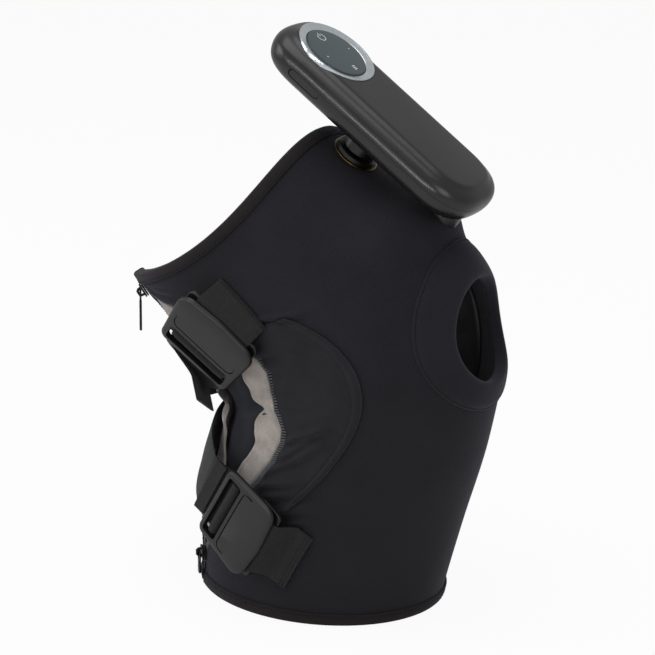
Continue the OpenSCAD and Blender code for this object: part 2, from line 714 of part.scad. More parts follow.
// The strap's turn round the clip's bar, which moves with the clip
module bar_turn() {
    back = 0.3;
    x1 = bar_x - turn_out - back;
    rotate([90, 0, 0]) linear_extrude(web_w, center = true) {
        difference() {
            translate([bar_x, bar_z]) circle(turn_out, $fn = 48);
            translate([bar_x, bar_z]) circle(turn_in, $fn = 48);
            translate([bar_x - 9, bar_z - turn_in]) square([9, turn_in]);
        }
        difference() {
            translate([x1, bar_z]) circle(back + web_t, $fn = 48);
            translate([x1, bar_z]) circle(back, $fn = 48);
            translate([x1 - 9, bar_z]) square([18, 9]);
            translate([x1 - 9, bar_z - 9]) square([9, 18]);
        }
        translate([bend_x + 0.2, bar_z - back - web_t]) square([x1 - bend_x - 0.2, web_t]);
        translate([bend_x, bend_z - web_t / 2]) square([bar_x - bend_x, web_t]);
        translate([bend_x, bend_z]) circle(web_t / 2, $fn = 32);
    }
}
module upper_strap_turn() {
    color([0.14, 0.14, 0.15]) in_frame(upper_frame) bar_turn();
}
module lower_strap_turn() {
    color([0.14, 0.14, 0.15]) in_frame(lower_frame) bar_turn();
}

// The strap's main run, from the clip's edge round the back to the far side panel. Heights over
// the fabric are looked up by the share of the run.
run_step = 6.5;
run_first = 5;
run_n = 16;
run_x = bend_x - web_t / 2 - 0.05;
upper_heights = [[0, 9.3], [0.12, 7.6], [0.25, 6], [0.45, 3], [0.62, 0.9], [0.75, 0.15], [1, 0.15]];
lower_heights = [[0, 8.3], [0.12, 6.8], [0.25, 5], [0.45, 2.6], [0.62, 0.9], [0.75, 0.15], [1, 0.15]];
upper_line = walk(upper_clip_at[0], upper_clip_at[1], 0, 0, -run_step, run_first + run_n);
lower_line = walk(lower_clip_at[0], lower_clip_at[1], lower_slope, 0, -run_step, run_first + run_n);
module strap_run(f, line, heights) {
    function over(i, r) = web_row(line[i], lookup((i - run_first) / run_n, heights) + r);
    stops = [run_first:run_first + run_n];
    low = concat([frame_row(f, run_x, bend_z - web_t / 2)], [for (i = stops) over(i, 0)]);
    high = concat([frame_row(f, run_x, bend_z + web_t / 2)], [for (i = stops) over(i, web_t)]);
    slab(low, high);
}

// The loose end, which lies on the run close to the clip and then hangs clear
tail_l = [22, 9];
tail_gap = 0.3;
tail_start = 3.4;
module tail(f, line, heights, long, drift, lean) {
    n = 5;
    near = frame_row(f, run_x, bend_z + web_t / 2);
    far = web_row(line[run_first], heights[0][1] + web_t);
    far_x = (far[web_cols / 2] - f[3]) * f[0];
    root = blend_rows(near, far, (bend_x - tail_start - run_x) / (far_x - run_x));
    slope = max([for (j = [0:web_cols])
        ((far[j] - near[j]) * f[2]) / ((near[j] - far[j]) * f[0])]);
    function row(i, r) = let (t = i / n) [for (j = [0:web_cols])
        root[j] - long * t * f[0] + drift * t * f[1]
        + (tail_gap + r + slope * long * t + lean * t * t) * f[2]];
    slab([for (i = [0:n]) row(i, 0)], [for (i = [0:n]) row(i, web_t)]);
}
module upper_strap() {
    color([0.14, 0.14, 0.15]) strap_run(upper_frame, upper_line, upper_heights);
}
module lower_strap() {
    color([0.14, 0.14, 0.15]) strap_run(lower_frame, lower_line, lower_heights);
}
module upper_strap_tail() {
    color([0.14, 0.14, 0.15]) tail(upper_frame, upper_line, upper_heights, tail_l[0], -14, 2);
}
module lower_strap_tail() {
    color([0.14, 0.14, 0.15]) tail(lower_frame, lower_line, lower_heights, tail_l[1], -1, 0.5);
}

// ---- heating and cooling ----
film_k = [0.36, 0.68];
film_a = [42, 82];
module film(lo, hi) {
    layer(rows(film_k[0], film_k[1]), function (k) lo, function (k) hi, 6,
          film_in, film_out);
}
module right_heater_film() {
    color([0.2, 0.2, 0.2]) film(film_a[0], film_a[1]);
}
module left_heater_film() {
    color([0.2, 0.2, 0.2]) film(360 - film_a[1], 360 - film_a[0]);
}
// Width of one lead, and of the gap beside it, in degrees round the leg
ribbon_w = 7;
// The leads are thinner than the films, where the front panel bends tightest
ribbon_drop = 0.15;
module heater_ribbon() {
    ks = [for (i = [0:12]) mix(film_k[1] + 0.004, snap_k[1], i / 12)];
    bend = film_a[0] + 4;
    function mid(k, s) = s * bend * pow((snap_k[1] - k) / (snap_k[1] - film_k[1]), 1.5);
    color([0.75, 0.45, 0.15]) for (s = [-1, 1])
        layer(ks, function (k) mid(k, s) + s * ribbon_w - ribbon_w / 2 + 0.2,
              function (k) mid(k, s) + s * ribbon_w + ribbon_w / 2 - 0.2, 2, film_in + 0.01,
              film_out - ribbon_drop);
}
cutout_k = [0.3, 0.35];
cutout_a = [50, 56];
module thermal_cutout() {
    color([0.85, 0.85, 0.8])
        layer(rows(cutout_k[0], cutout_k[1]), function (k) cutout_a[0], function (k) cutout_a[1], 2,
              film_in, film_out);
}
// A soft pad, thick in the middle, between two angles on the lining
gel_seat = lining_in - 0.5;
gel_k = [0.34, 0.66];
gel_a = [46, 82];
gel_crown = 5;
gel_rim = 0.8;
module gel_pad(lo, hi) {
    nk = 8;
    na = 6;
    function lift(i, j) = gel_crown * pow(sin(180 * i / nk) * sin(180 * j / na), 0.5);
    function at(i, j, r) = skin(mix(gel_k[0], gel_k[1], i / nk), mix(lo, hi, j / na), r);
    slab([for (i = [0:nk]) [for (j = [0:na]) at(i, j, gel_seat)]],
         [for (i = [0:nk]) [for (j = [0:na]) at(i, j, gel_seat - gel_rim - lift(i, j))]]);
}
module right_gel_pad() {
    color([0.4, 0.45, 0.55]) gel_pad(gel_a[0], gel_a[1]);
}
module left_gel_pad() {
    color([0.4, 0.45, 0.55]) gel_pad(360 - gel_a[1], 360 - gel_a[0]);
}

// ---- pod ----
pod_at = skin(snap_k[1], 0, 0);
snap_ahead = 1.1;
function to_pod(p) =
    let (d = p - pod_at)
    [d[0], d[1] * cos(pod_tilt) + d[2] * sin(pod_tilt) + snap_ahead,
     d[2] * cos(pod_tilt) - d[1] * sin(pod_tilt) - pod_rise];
module in_pod() {
    translate(pod_at) rotate([pod_tilt, 0, 0]) translate([0, -snap_ahead, pod_rise]) children();
}
half_w = pod_w / 2;
bottom_z = -pod_t / 2;
top_z = pod_t / 2;
outline_n = 48;
squareness = 2.7;
// Outline of the pod at a given inset from its widest line
function outline(inset, z) =
    let (w = half_w - inset, straight = pod_l / 2 - half_w)
    [for (j = [0:outline_n - 1]) let (
        t = 360 * (j + 0.5) / outline_n,
        p = 2 / squareness,
        x = w * sign(cos(t)) * pow(abs(cos(t)), p),
        y = w * sign(sin(t)) * pow(abs(sin(t)), p) + straight * sign(sin(t))
    ) [x, y, z]];
function level(h) = h * pod_t / 20;
lower_levels = [[8.5, -10], [5.4, -9.3], [2.6, -7.4], [0.9, -4.6], [0.1, -1.5]];
upper_levels = [[0.25, 2.6], [1.2, 4.8], [2.8, 6.6], [4.6, 7.7], [6.2, 8.4], [7.9, 9.4], [9, 9.8], [11, 10]];
split = 0.15;

screw_at = [[17, -62], [-17, -62], [17, 14], [-17, 14]];
screw_r = 1;
screw_head_r = 2;
screw_head_h = 1.6;
cell_size = [34, 48, 7];
cell_y = -30;
cradle_t = 1;
board_z = 3;
board_t = 1.4;
ledge_z = board_z + board_t + 0.1;
roof_z = 6.6;
board_y = [18, 66];
boss_r = 3.2;
// Height of the step inside the lower case that the screw bosses stand on
step_z = bottom_z / 2;
boss_z = step_z + 0.2;
disc_top = top_z + 0.2;
bezel_r = disc_r + fit_gap;
bezel_out = bezel_r + bezel_w;
bezel_floor = top_z - 1.8;

module prism(inset, z0, z1) {
    translate([0, 0, z0]) linear_extrude(z1 - z0)
        polygon([for (p = outline(inset, 0)) [p[0], p[1]]]);
}
module cover_pocket(extra, x0, x1) {
    translate([x0, cover_y, cover_z]) rotate([0, 90, 0]) linear_extrude(x1 - x0)
        hull() for (s = [-1, 1])
            translate([0, s * (cover_l - cover_h) / 2]) circle(cover_h / 2 + extra, $fn = 32);
}
cover_z = -2.2;
cover_t = 1.2;
cover_x = -half_w + 0.75;
usb_size = [7.4, 9, 3.2];

module pod_lower_case() {
    color([0.16, 0.16, 0.15]) in_pod() difference() {
        loft(concat([for (l = lower_levels) outline(l[0], level(l[1]))], [outline(0, part_z)]));
        prism(case_wall + 5, bottom_z + case_wall, step_z);
        prism(case_wall + 1.4, step_z - 0.01, part_z + 1);
        cover_pocket(fit_gap, -half_w - 2, cover_x + cover_t + 0.1);
        translate([-half_w - 1, cover_y - usb_size[1] / 2 - 0.1, cover_z - usb_size[2] / 2 - 0.1])
            cube([12, usb_size[1] + 0.2, usb_size[2] + 0.2]);
        for (p = screw_at) translate([p[0], p[1], bottom_z - 1])
            cylinder(r = screw_head_r + 0.2, h = screw_head_h + 1.2, $fn = 32);
        for (p = screw_at) translate([p[0], p[1], bottom_z - 1])
            cylinder(r = screw_r + 0.1, h = 12, $fn = 32);
    }
}
module pod_upper_case() {
    color([0.17, 0.17, 0.16]) in_pod() difference() {
        union() {
            difference() {
                loft(concat([outline(0, part_z + split)],
                            [for (l = upper_levels) outline(l[0], level(l[1]))]));
                prism(case_wall + 1.4, part_z - 1, ledge_z);
                prism(case_wall + 6.5, ledge_z - 0.01, roof_z);
            }
            for (p = screw_at) translate([p[0], p[1], boss_z])
                cylinder(r = boss_r, h = roof_z + 1 - boss_z, $fn = 32);
        }
        translate([0, disc_y, bezel_floor]) cylinder(r = bezel_out + 0.15, h = 5, $fn = 96);
        translate([0, disc_y, 0]) cylinder(r = disc_r + 1.2, h = 15, $fn = 96);
        for (p = screw_at) translate([p[0], p[1], bottom_z])
            cylinder(r = screw_r, h = pod_t - case_wall - 2, $fn = 32);
    }
}
module bezel_ring() {
    lip = top_z + bezel_rise;
    color([0.72, 0.74, 0.76]) in_pod() translate([0, disc_y, 0]) rotate_extrude($fn = 96)
        polygon([[bezel_r, bezel_floor + 0.05], [bezel_out, bezel_floor + 0.05],
                 [bezel_out, lip - 0.5], [bezel_out - 0.5, lip], [bezel_out - 1.1, lip],
                 [bezel_r + 0.3, top_z - 0.3], [bezel_r, top_z - 0.4]]);
}

// The control disc rocks on a small rubber dome and presses one of four switches
switch_ring = 12.5;
switch_size = [5, 5, 1.4];
plunger_r = 1.5;
plunger_h = 0.7;
board_top = board_z + board_t;
disc_under = disc_top - disc_t;
press_gap = 0.42;
nub_end = board_top + switch_size[2] + plunger_h + press_gap;
dome_r = 3.5;
module control_disc() {
    color([0.2, 0.22, 0.23]) in_pod() translate([0, disc_y, 0]) {
        translate([0, 0, disc_under]) cylinder(r = disc_r, h = disc_t, $fn = 96);
        for (i = [0:3]) rotate(90 * i) translate([switch_ring, 0, nub_end])
            cylinder(r = 1.6, h = disc_under - nub_end + 0.1, $fn = 32);
    }
}
module pivot_dome() {
    color([0.12, 0.12, 0.12]) in_pod() translate([0, disc_y, board_top + 0.2])
        rotate_extrude($fn = 48)
            polygon([[0, 0], [dome_r - 1, 0], [dome_r, 0.5], [dome_r, disc_under - board_top - 0.6],
                     [dome_r - 0.5, disc_under - board_top - 0.4], [0, disc_under - board_top - 0.4]]);
}
module main_board() {
    color([0.1, 0.35, 0.2]) in_pod() difference() {
        intersection() {
            prism(case_wall + 2, board_z, board_z + board_t);
            translate([-40, board_y[0], 0]) cube([80, board_y[1] - board_y[0], 10]);
        }
        for (p = screw_at) translate([p[0], p[1], 0]) cylinder(r = boss_r + 0.3, h = 10, $fn = 32);
    }
}
module tact_switches() {
    color([0.6, 0.6, 0.62]) in_pod() translate([0, disc_y, board_top]) for (i = [0:3])
        rotate(90 * i) translate([switch_ring, 0, 0]) {
            translate([-switch_size[0] / 2, -switch_size[1] / 2, 0]) cube(switch_size);
            translate([0, 0, switch_size[2] - 0.1]) cylinder(r = plunger_r, h = plunger_h + 0.1, $fn = 32);
        }
}
module status_leds() {
    color([0.9, 0.95, 1]) in_pod() for (i = [0:3])
        translate([0, disc_y, board_top]) rotate(45 + 90 * i) translate([switch_ring, 0, 0.4])
            cube([1.6, 0.8, 0.8], center = true);
}
module battery_cradle() {
    base = bottom_z + case_wall;
    color([0.25, 0.25, 0.26]) in_pod() translate([-cell_size[0] / 2 - cradle_t - 0.2,
                                                  cell_y - cell_size[1] / 2 - cradle_t - 0.2, base])
        difference() {
            cube([cell_size[0] + 2 * cradle_t + 0.4, cell_size[1] + 2 * cradle_t + 0.4, 3.5]);
            translate([cradle_t, cradle_t, cradle_t])
                cube([cell_size[0] + 0.4, cell_size[1] + 0.4, 5]);
        }
}
module battery_cell() {
    base = bottom_z + case_wall + cradle_t + 0.05;
    color([0.3, 0.45, 0.7]) in_pod() translate([0, cell_y, base + cell_size[2] / 2])
        cube(cell_size, center = true);
}
module usb_port() {
    wall = 0.4;
    color([0.7, 0.7, 0.72]) in_pod()
        translate([cover_x + cover_t + 0.3, cover_y - usb_size[1] / 2, cover_z - usb_size[2] / 2])
            difference() {
                cube(usb_size);
                translate([-1, wall, wall])
                    cube([usb_size[0] - 0.5, usb_size[1] - 2 * wall, usb_size[2] - 2 * wall]);
            }
}
module port_cover() {
    color([0.1, 0.1, 0.1]) in_pod() cover_pocket(0, cover_x, cover_x + cover_t);
}

// ---- snaps: sockets on the sleeve, studs under the pod ----
function socket_base(k) =
    let (d = snap_r * share_mm(k, 0))
    max([for (s = [-1, 0, 1]) to_pod(skin(k + s * d, 0, 0))[2]]) + 0.2;
function socket_y(k) = to_pod(skin(k, 0, 0))[1];
function socket_top(k) = socket_base(k) + snap_h;
rim_w = 1.2;
module snap_sockets() {
    color([0.1, 0.1, 0.1]) in_pod() for (k = snap_k)
        translate([0, socket_y(k), socket_base(k)]) difference() {
            cylinder(r = snap_r - rim_w, h = snap_h, $fn = 64);
            translate([0, 0, snap_h - post_depth - 0.5]) cylinder(r = post_r + 0.06, h = 5, $fn = 48);
        }
}
module snap_rims() {
    color([0.75, 0.6, 0.3]) in_pod() for (k = snap_k)
        translate([0, socket_y(k), socket_base(k)]) rotate_extrude($fn = 64)
            polygon([[snap_r - rim_w + 0.05, 0], [snap_r, 0], [snap_r, snap_h - 1.4],
                     [snap_r - rim_w + 0.05, snap_h - 0.6]]);
}
module snap_washers() {
    color([0.6, 0.6, 0.62]) for (k = snap_k) on_skin(k, 0, lining_in - 0.65)
        translate([0, 0, -0.8]) cylinder(r = 8, h = 0.8, $fn = 48);
}
boss_flare = 10;
module snap_studs() {
    color([0.12, 0.12, 0.12]) in_pod() for (k = snap_k) translate([0, socket_y(k), 0]) {
        top = socket_top(k) + 0.3;
        translate([0, 0, top]) cylinder(r = boss_flare, h = bottom_z - top - 0.02, $fn = 64);
        translate([0, 0, socket_top(k) - post_depth]) cylinder(r = post_r, h = post_depth + 1, $fn = 48);
    }
}
module case_screws() {
    color([0.65, 0.65, 0.67]) in_pod() for (p = screw_at) translate([p[0], p[1], bottom_z + 0.2]) {
        cylinder(r = screw_head_r, h = screw_head_h - 0.2, $fn = 32);
        cylinder(r = screw_r - 0.03, h = 9, $fn = 32);
    }
}

front_panel();
right_side_panel();
left_side_panel();
right_knee_gusset();
left_knee_gusset();
patella_pad();
thigh_binding();
calf_binding();
front_lining();
right_lining();
left_lining();
popliteal_insert();
right_zip_guard();
left_zip_guard();
right_zip_tape();
left_zip_tape();
right_zip_teeth();
left_zip_teeth();
upper_zip_slider();
lower_zip_slider();
upper_zip_pull();
lower_zip_pull();
upper_anchor_web();
lower_anchor_web();
upper_receiver();
lower_receiver();
upper_strap();
lower_strap();
upper_strap_tail();
lower_strap_tail();
upper_strap_turn();
lower_strap_turn();
upper_clip();
lower_clip();
right_heater_film();
left_heater_film();
heater_ribbon();
thermal_cutout();
right_gel_pad();
left_gel_pad();
snap_sockets();
snap_rims();
snap_washers();
pod_lower_case();
pod_upper_case();
bezel_ring();
control_disc();
pivot_dome();
main_board();
tact_switches();
status_leds();
battery_cell();
battery_cradle();
usb_port();
port_cover();
snap_studs();
case_screws();
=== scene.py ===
"""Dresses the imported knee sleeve: fabric, zip, webbing, clips and pod, with a plain studio round it.

Sizes are in millimetres until a mesh is made, and in metres from there on. A place on the sleeve is a
share k of its length (0 at the calf hem, 1 at the thigh hem), an angle a from the kneecap in degrees
(90 is the near side, 270 the far one) and a height r above the fabric's face.
"""

import math

import bmesh
import bpy
import numpy as np
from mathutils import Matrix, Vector


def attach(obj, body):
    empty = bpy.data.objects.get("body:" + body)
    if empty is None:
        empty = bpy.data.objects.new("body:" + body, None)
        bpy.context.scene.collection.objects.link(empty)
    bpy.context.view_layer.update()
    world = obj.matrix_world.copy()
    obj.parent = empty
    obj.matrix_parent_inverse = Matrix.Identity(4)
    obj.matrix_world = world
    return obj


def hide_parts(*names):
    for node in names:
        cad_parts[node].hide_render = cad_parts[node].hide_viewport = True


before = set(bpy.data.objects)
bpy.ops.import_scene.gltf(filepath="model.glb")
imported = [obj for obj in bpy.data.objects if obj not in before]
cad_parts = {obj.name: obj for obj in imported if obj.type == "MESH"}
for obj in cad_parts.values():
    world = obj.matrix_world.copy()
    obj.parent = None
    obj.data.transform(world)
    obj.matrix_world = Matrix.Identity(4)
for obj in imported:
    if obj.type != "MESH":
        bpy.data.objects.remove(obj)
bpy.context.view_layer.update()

MM = 0.001
SLEEVE = "sleeve"


# ---------------------------------------------------------------- the leg's surface, as in the CAD

# One row a section: front y, front z, back y, back z, half width
LEG = np.array([
    [-74, 0, 74, 0, 61], [-88, 52, 75, 42, 60], [-103, 104, 67, 78, 60], [-111, 152, 60, 108, 60],
    [-105, 190, 72, 129, 61], [-82, 220, 91, 146, 62], [-41, 248, 106, 163, 62], [2, 274, 118, 180, 62],
], float)
HEM_DIP = 0.08
LENGTH = 274.0  # about, up the front
MM_PER_DEGREE = 1.2  # about, round the leg


def curve(p, q, r, s, t):
    """Catmull-Rom between q and r."""
    return q + 0.5 * t * (r - p + t * (2 * p - 5 * q + 4 * r - s + t * (3 * (q - r) + s - p)))


def section(u):
    knots = np.vstack([2 * LEG[0] - LEG[1], LEG, 2 * LEG[-1] - LEG[-2]])
    t = np.clip(u, 0, 1) * (len(LEG) - 1)
    i = np.minimum(t.astype(int), len(LEG) - 2)
    return curve(knots[i], knots[i + 1], knots[i + 2], knots[i + 3], (t - i)[..., None])


def skin(k, a, r=0.0):
    """Points on the bare sleeve, in millimetres."""
    k, a, r = np.broadcast_arrays(np.asarray(k, float), np.asarray(a, float), np.asarray(r, float))
    sin, cos = np.sin(np.radians(a)), np.cos(np.radians(a))
    s = section(k * (1 - HEM_DIP * sin ** 2 * (1 - 0.3 * cos)))
    depth = (s[..., 0:2] - s[..., 2:4]) / 2
    half = np.linalg.norm(depth, axis=-1)
    reach = (half + r) * cos / half
    middle = (s[..., 0:2] + s[..., 2:4]) / 2
    return np.stack([-(s[..., 4] + r) * sin, middle[..., 0] + reach * depth[..., 0],
                     middle[..., 1] + reach * depth[..., 1]], axis=-1)


def unit(v):
    return v / np.maximum(np.linalg.norm(v, axis=-1, keepdims=True), 1e-9)


def along(k, a):
    return (skin(k + 0.002, a) - skin(k - 0.002, a)) / 0.004


def around(k, a):
    return (skin(k, a + 1) - skin(k, a - 1)) / 2


def outward(k, a):
    return unit(np.cross(along(k, a), around(k, a)))


def degrees_of(width, k, a):
    """The angle that a width in millimetres takes up."""
    return width / np.linalg.norm(around(np.clip(k, 0.01, 0.99), a), axis=-1)


def shares_of(width, k, a):
    """The share of the sleeve that a width in millimetres takes up."""
    return width / np.linalg.norm(along(np.clip(k, 0.01, 0.99), a), axis=-1)


def smooth(t):
    t = np.clip(t, 0, 1)
    return t * t * (3 - 2 * t)


def bell(t):
    return np.exp(-t ** 2)


def through(points, by, held=False):
    """Points with by steps of a smooth curve from each to the next; held stops the curve at its ends."""
    p = np.asarray(points, float)
    t = np.linspace(0, len(p) - 1, (len(p) - 1) * by + 1)
    i = np.minimum(t.astype(int), len(p) - 2)
    before, after = (p[0], p[-1]) if held else (2 * p[0] - p[1], 2 * p[-1] - p[-2])
    knots = np.concatenate([[before], p, [after]])
    part = (t - i).reshape(-1, *([1] * (p.ndim - 1)))
    return curve(knots[i], knots[i + 1], knots[i + 2], knots[i + 3], part)


def distances(line):
    """How far along a line each of its points is."""
    return np.concatenate([[0], np.cumsum(np.linalg.norm(np.diff(line, axis=0), axis=1))])


def on_flat(k, a):
    """Places on the flat cut, in millimetres."""
    return np.stack([a * MM_PER_DEGREE, k * LENGTH], axis=-1)


def grid(k0, k1, rows, columns):
    """Shares from k0 to k1 down the rows of a grid, and 0 to 1 across its columns."""
    return np.linspace(k0, k1, rows)[:, None] * np.ones(columns), np.linspace(0, 1, columns)[None, :]


# ---------------------------------------------------------------- seams and edges, as in the CAD

RIGHT_ZIP = np.array([
    [0, 141], [0.06, 140.5], [0.105, 134], [0.22, 114], [0.28, 106], [0.335, 100], [0.385, 97.5],
    [0.416, 98], [0.468, 102.5], [0.53, 102.5], [0.587, 101], [0.631, 102], [0.74, 111],
    [0.85, 126], [0.915, 140], [0.945, 147.5], [1, 148.5]])
LEFT_ZIP = np.array([
    [0, 144.4], [0.06, 143.9], [0.15, 156], [0.3, 170], [0.5, 174], [0.7, 170], [0.85, 162],
    [0.915, 154], [0.945, 150.9], [1, 151.9]])


def right_edge(k):
    return np.interp(k, RIGHT_ZIP[:, 0], RIGHT_ZIP[:, 1])


def left_edge(k):
    return np.interp(k, LEFT_ZIP[:, 0], LEFT_ZIP[:, 1])


HOLE_K, HOLE_HALF, HOLE_A = 0.514, 0.109, 27.0
HOLE_FAR = 7.0  # the hole reaches this much further round on the far side
PAD_K, PAD_HALF, PAD_A = 0.535, 0.18, 46.0
FABRIC_T = 2.0
LINING_OUT, LINING_IN = -2.95, -3.95
HEM_K = 0.006
GUSSET_K = (0.206, 0.46, 0.735)


def bowed(k, middle, low, high):
    """An edge that is at an angle of middle half way up and bows by low and high towards its ends."""
    down = (GUSSET_K[1] - k) / (GUSSET_K[1] - GUSSET_K[0])
    up = (k - GUSSET_K[1]) / (GUSSET_K[2] - GUSSET_K[1])
    return np.where(k < GUSSET_K[1], middle + low * down ** 2, middle + high * up ** 2)


def gusset_edge(k):
    return bowed(k, 68, 26, 15)


def gusset_back_edge(k):
    return bowed(k, 250, 13, 24)


# ---------------------------------------------------------------- folds of the fabric

# One row a fold: share and angle at its deep end, the same at its shallow end, height and half width
FOLDS = np.array([
    [0.752, 93, 0.728, 70, 1.5, 2.3],
    [0.318, 103, 0.408, 73, 1.3, 2.5],
    [0.352, 99, 0.44, 76, 1.0, 2.2],
    [0.276, 104, 0.312, 79, 1.7, 2.6],
    [0.245, 103, 0.289, 76, 1.2, 2.4],
    [0.393, 97, 0.425, 73, 1.4, 2.4],
    [0.225, 95, 0.238, 66, 1.4, 2.4],
    [0.203, 88, 0.205, 76, 1.2, 2.0],
    [0.18, 86, 0.165, 72, 0.8, 2.4],
    [0.94, 136, 0.885, 106, 0.9, 2.6],
    [0.96, 140, 0.93, 112, 0.8, 2.4],
    [0.875, 128, 0.83, 104, 0.6, 2.6],
])


def relief(k, a):
    """How far the fabric's layers stand out from the bare sleeve, in millimetres."""
    k, a = np.broadcast_arrays(np.asarray(k, float), np.asarray(a, float))
    x, y = a * MM_PER_DEGREE, k * LENGTH
    # the front is pulled up between the kneecap pad and the pod
    front = (a + 180) % 360 - 180
    total = 13 * np.exp(-((k - 0.775) / 0.05) ** 2 - (front / 30) ** 2)
    for k0, a0, k1, a1, height, half in FOLDS:
        start, end = on_flat(np.array([k0, k1]), np.array([a0, a1]))
        line = end - start
        long = np.linalg.norm(line)
        t = ((x - start[0]) * line[0] + (y - start[1]) * line[1]) / long ** 2
        bow = 1.2 * np.sin(np.clip(t, 0, 1) * math.pi * 1.4 + k0 * 40)
        off = ((x - start[0]) * line[1] - (y - start[1]) * line[0]) / long + bow
        taper = smooth((t + 0.12) / 0.2) * smooth((1.05 - t) / 0.75)
        wide = half * (0.8 + 0.7 * np.clip(t, 0, 1))
        total += height * taper * (bell(off / wide) - 0.75 * bell((off + 1.9 * wide) / wide))
    # the cut edges at the zip pucker between its stitches, more where the zip is stretched open
    for edge, inward in ((right_edge(k), 1), (left_edge(k), -1)):
        off = (edge - a) * inward * MM_PER_DEGREE
        near = np.exp(-np.clip(off, 0, None) / 9) * smooth(off + 3)
        open_zip = smooth((k - 0.12) / 0.1) * smooth((0.93 - k) / 0.1)
        waves = np.sin(k * LENGTH / 3.1 + 2.2 * np.sin(k * 19)) + 0.6 * np.sin(k * LENGTH / 1.9 + 1.3)
        total += near * waves * (0.25 + 0.35 * open_zip)
    # and the whole cloth is a little uneven
    at_hems = smooth((1 - k) / 0.08) * smooth(k / 0.08)
    total += 0.45 * np.sin(k * 11 + a * 0.05) * np.sin(a * 0.071 + 2.1) * at_hems
    return total


def cloth(k, a, r):
    """Points on the sleeve with its folds. The thigh opening sinks at the back and far side."""
    points = skin(k, a, r + relief(k, a))
    behind = np.asarray(a, float) % 360
    high = smooth((np.asarray(k, float) - 0.8) / 0.2)
    points[..., 2] -= 10 * high * smooth((behind - 152) / 30) * smooth((300 - behind) / 70)
    return points


# ---------------------------------------------------------------- colours and materials

def rgb(red, green, blue):
    """A colour given as the photograph shows it, 0 to 255, as Blender takes it."""
    linear = [c / 255 / 12.92 if c <= 10 else ((c / 255 + 0.055) / 1.055) ** 2.4 for c in (red, green, blue)]
    return (*linear, 1)


def toned(colour, by):
    """A colour made lighter or darker."""
    return (*(min(1, c * by) for c in colour[:3]), 1)


class Nodes:
    """A node tree, of a new material or world, with short calls for what this script needs."""

    def __init__(self, name, kind=bpy.data.materials):
        self.owner = kind.new(name)
        self.owner.use_nodes = True
        self.tree = self.owner.node_tree
        self.shader = self.tree.nodes.get("Principled BSDF")

    def add(self, kind, **inputs):
        node = self.tree.nodes.new(kind)
        for name, value in inputs.items():
            self.link(node, name.replace("_", " "), value)
        return node

    def link(self, node, socket, value):
        if isinstance(value, bpy.types.NodeSocket):
            self.tree.links.new(value, node.inputs[socket])
        else:
            node.inputs[socket].default_value = value

    def set(self, **inputs):
        for name, value in inputs.items():
            self.link(self.shader, name.replace("_", " "), value)

    def math(self, operation, a, b=0.0, c=0.0):
        node = self.add("ShaderNodeMath")
        node.operation = operation
        for i, value in enumerate((a, b, c)):
            self.link(node, i, value)
        return node.outputs[0]

    def times(self, a, b):
        return self.math("MULTIPLY", a, b)

    def plus(self, a, b):
        return self.math("ADD", a, b)

    def both(self, a, share_a, b, share_b):
        """Two values added up, each times its share."""
        return self.plus(self.times(a, share_a), self.times(b, share_b))

    def uneven(self, value, noise, by):
        """A value that a noise makes higher and lower."""
        return self.math("MULTIPLY_ADD", self.math("SUBTRACT", noise, 0.5), by, value)

    def mix(self, share, a, b):
        """A mix of two colours."""
        node = self.add("ShaderNodeMix")
        node.data_type = "RGBA"
        for i, value in ((0, share), (6, a), (7, b)):
            self.link(node, i, value)
        return node.outputs[2]

    def join(self, share, a, b):
        """A mix of two shaders."""
        node = self.add("ShaderNodeMixShader")
        for i, value in enumerate((share, a, b)):
            self.link(node, i, value)
        return node.outputs[0]

    def ramp(self, value, low, high):
        """0 up to low, 1 from high."""
        return self.add("ShaderNodeMapRange", Value=value, From_Min=low, From_Max=high).outputs[0]

    def cut(self):
        """The flat cut's coordinates, in millimetres."""
        node = self.add("ShaderNodeUVMap")
        node.uv_map = "cut"
        return node.outputs[0]

    def place(self):
        """Object coordinates, in metres."""
        return self.add("ShaderNodeTexCoord").outputs["Object"]

    def split(self, vector):
        """A vector's x, y and z."""
        return self.add("ShaderNodeSeparateXYZ", Vector=vector).outputs[:]

    def scaled(self, vector, scale):
        return self.add("ShaderNodeMapping", Vector=vector, Scale=scale).outputs[0]

    def noise(self, vector, scale, detail=3.0, rough=0.55):
        return self.add("ShaderNodeTexNoise", Vector=vector, Scale=scale, Detail=detail, Roughness=rough).outputs[0]

    def ridges(self, value, pitch):
        """0 to 1 and back over each pitch."""
        return self.math("MULTIPLY_ADD", self.math("SINE", self.times(value, 2 * math.pi / pitch)), 0.5, 0.5)

    def bump(self, height, distance):
        """A bump of a height map, with its distance in millimetres."""
        return self.add("ShaderNodeBump", Height=height, Strength=1.0, Distance=distance * MM).outputs[0]


def knit(name, dark, light, pitch=0.9, grain=0.12, sheen=0.12, painted_warm_light=None):
    """A fine jersey: columns of stitches, small slubs, a slow change of tone and, optionally, a brown painted-light
    tint low in front.
    """
    n = Nodes(name)
    x, y, _ = n.split(n.cut())
    place = n.place()
    columns = n.ridges(x, pitch)
    stitch = n.ridges(n.plus(y, n.times(columns, pitch * 0.35)), pitch * 0.8)
    slubs, tone, fuzz = n.noise(place, 900, 4), n.noise(place, 22, 2), n.noise(place, 2600, 2)
    share = n.both(n.ramp(tone, 0.35, 0.7), 0.55, n.ramp(slubs, 0.42, 0.75), 0.45)
    colour = n.mix(share, dark, light)
    # painted warm light: the lower front is tinted brown as warm light would tint it; the cloth itself is not brown
    # there
    if painted_warm_light is not None:
        _, back, up = n.split(place)
        low = n.times(n.ramp(up, 0.17, 0.05), n.ramp(back, 0.02, -0.07))
        colour = n.mix(n.times(low, 0.7), colour, painted_warm_light)
    height = n.both(n.times(columns, stitch), 0.6, fuzz, 0.6)
    n.set(Base_Color=colour, Roughness=0.86, Normal=n.bump(height, grain), Specular_IOR_Level=0.25,
          Sheen_Weight=sheen, Sheen_Roughness=0.45, Sheen_Tint=(0.8, 0.8, 0.95, 1))
    return n.owner


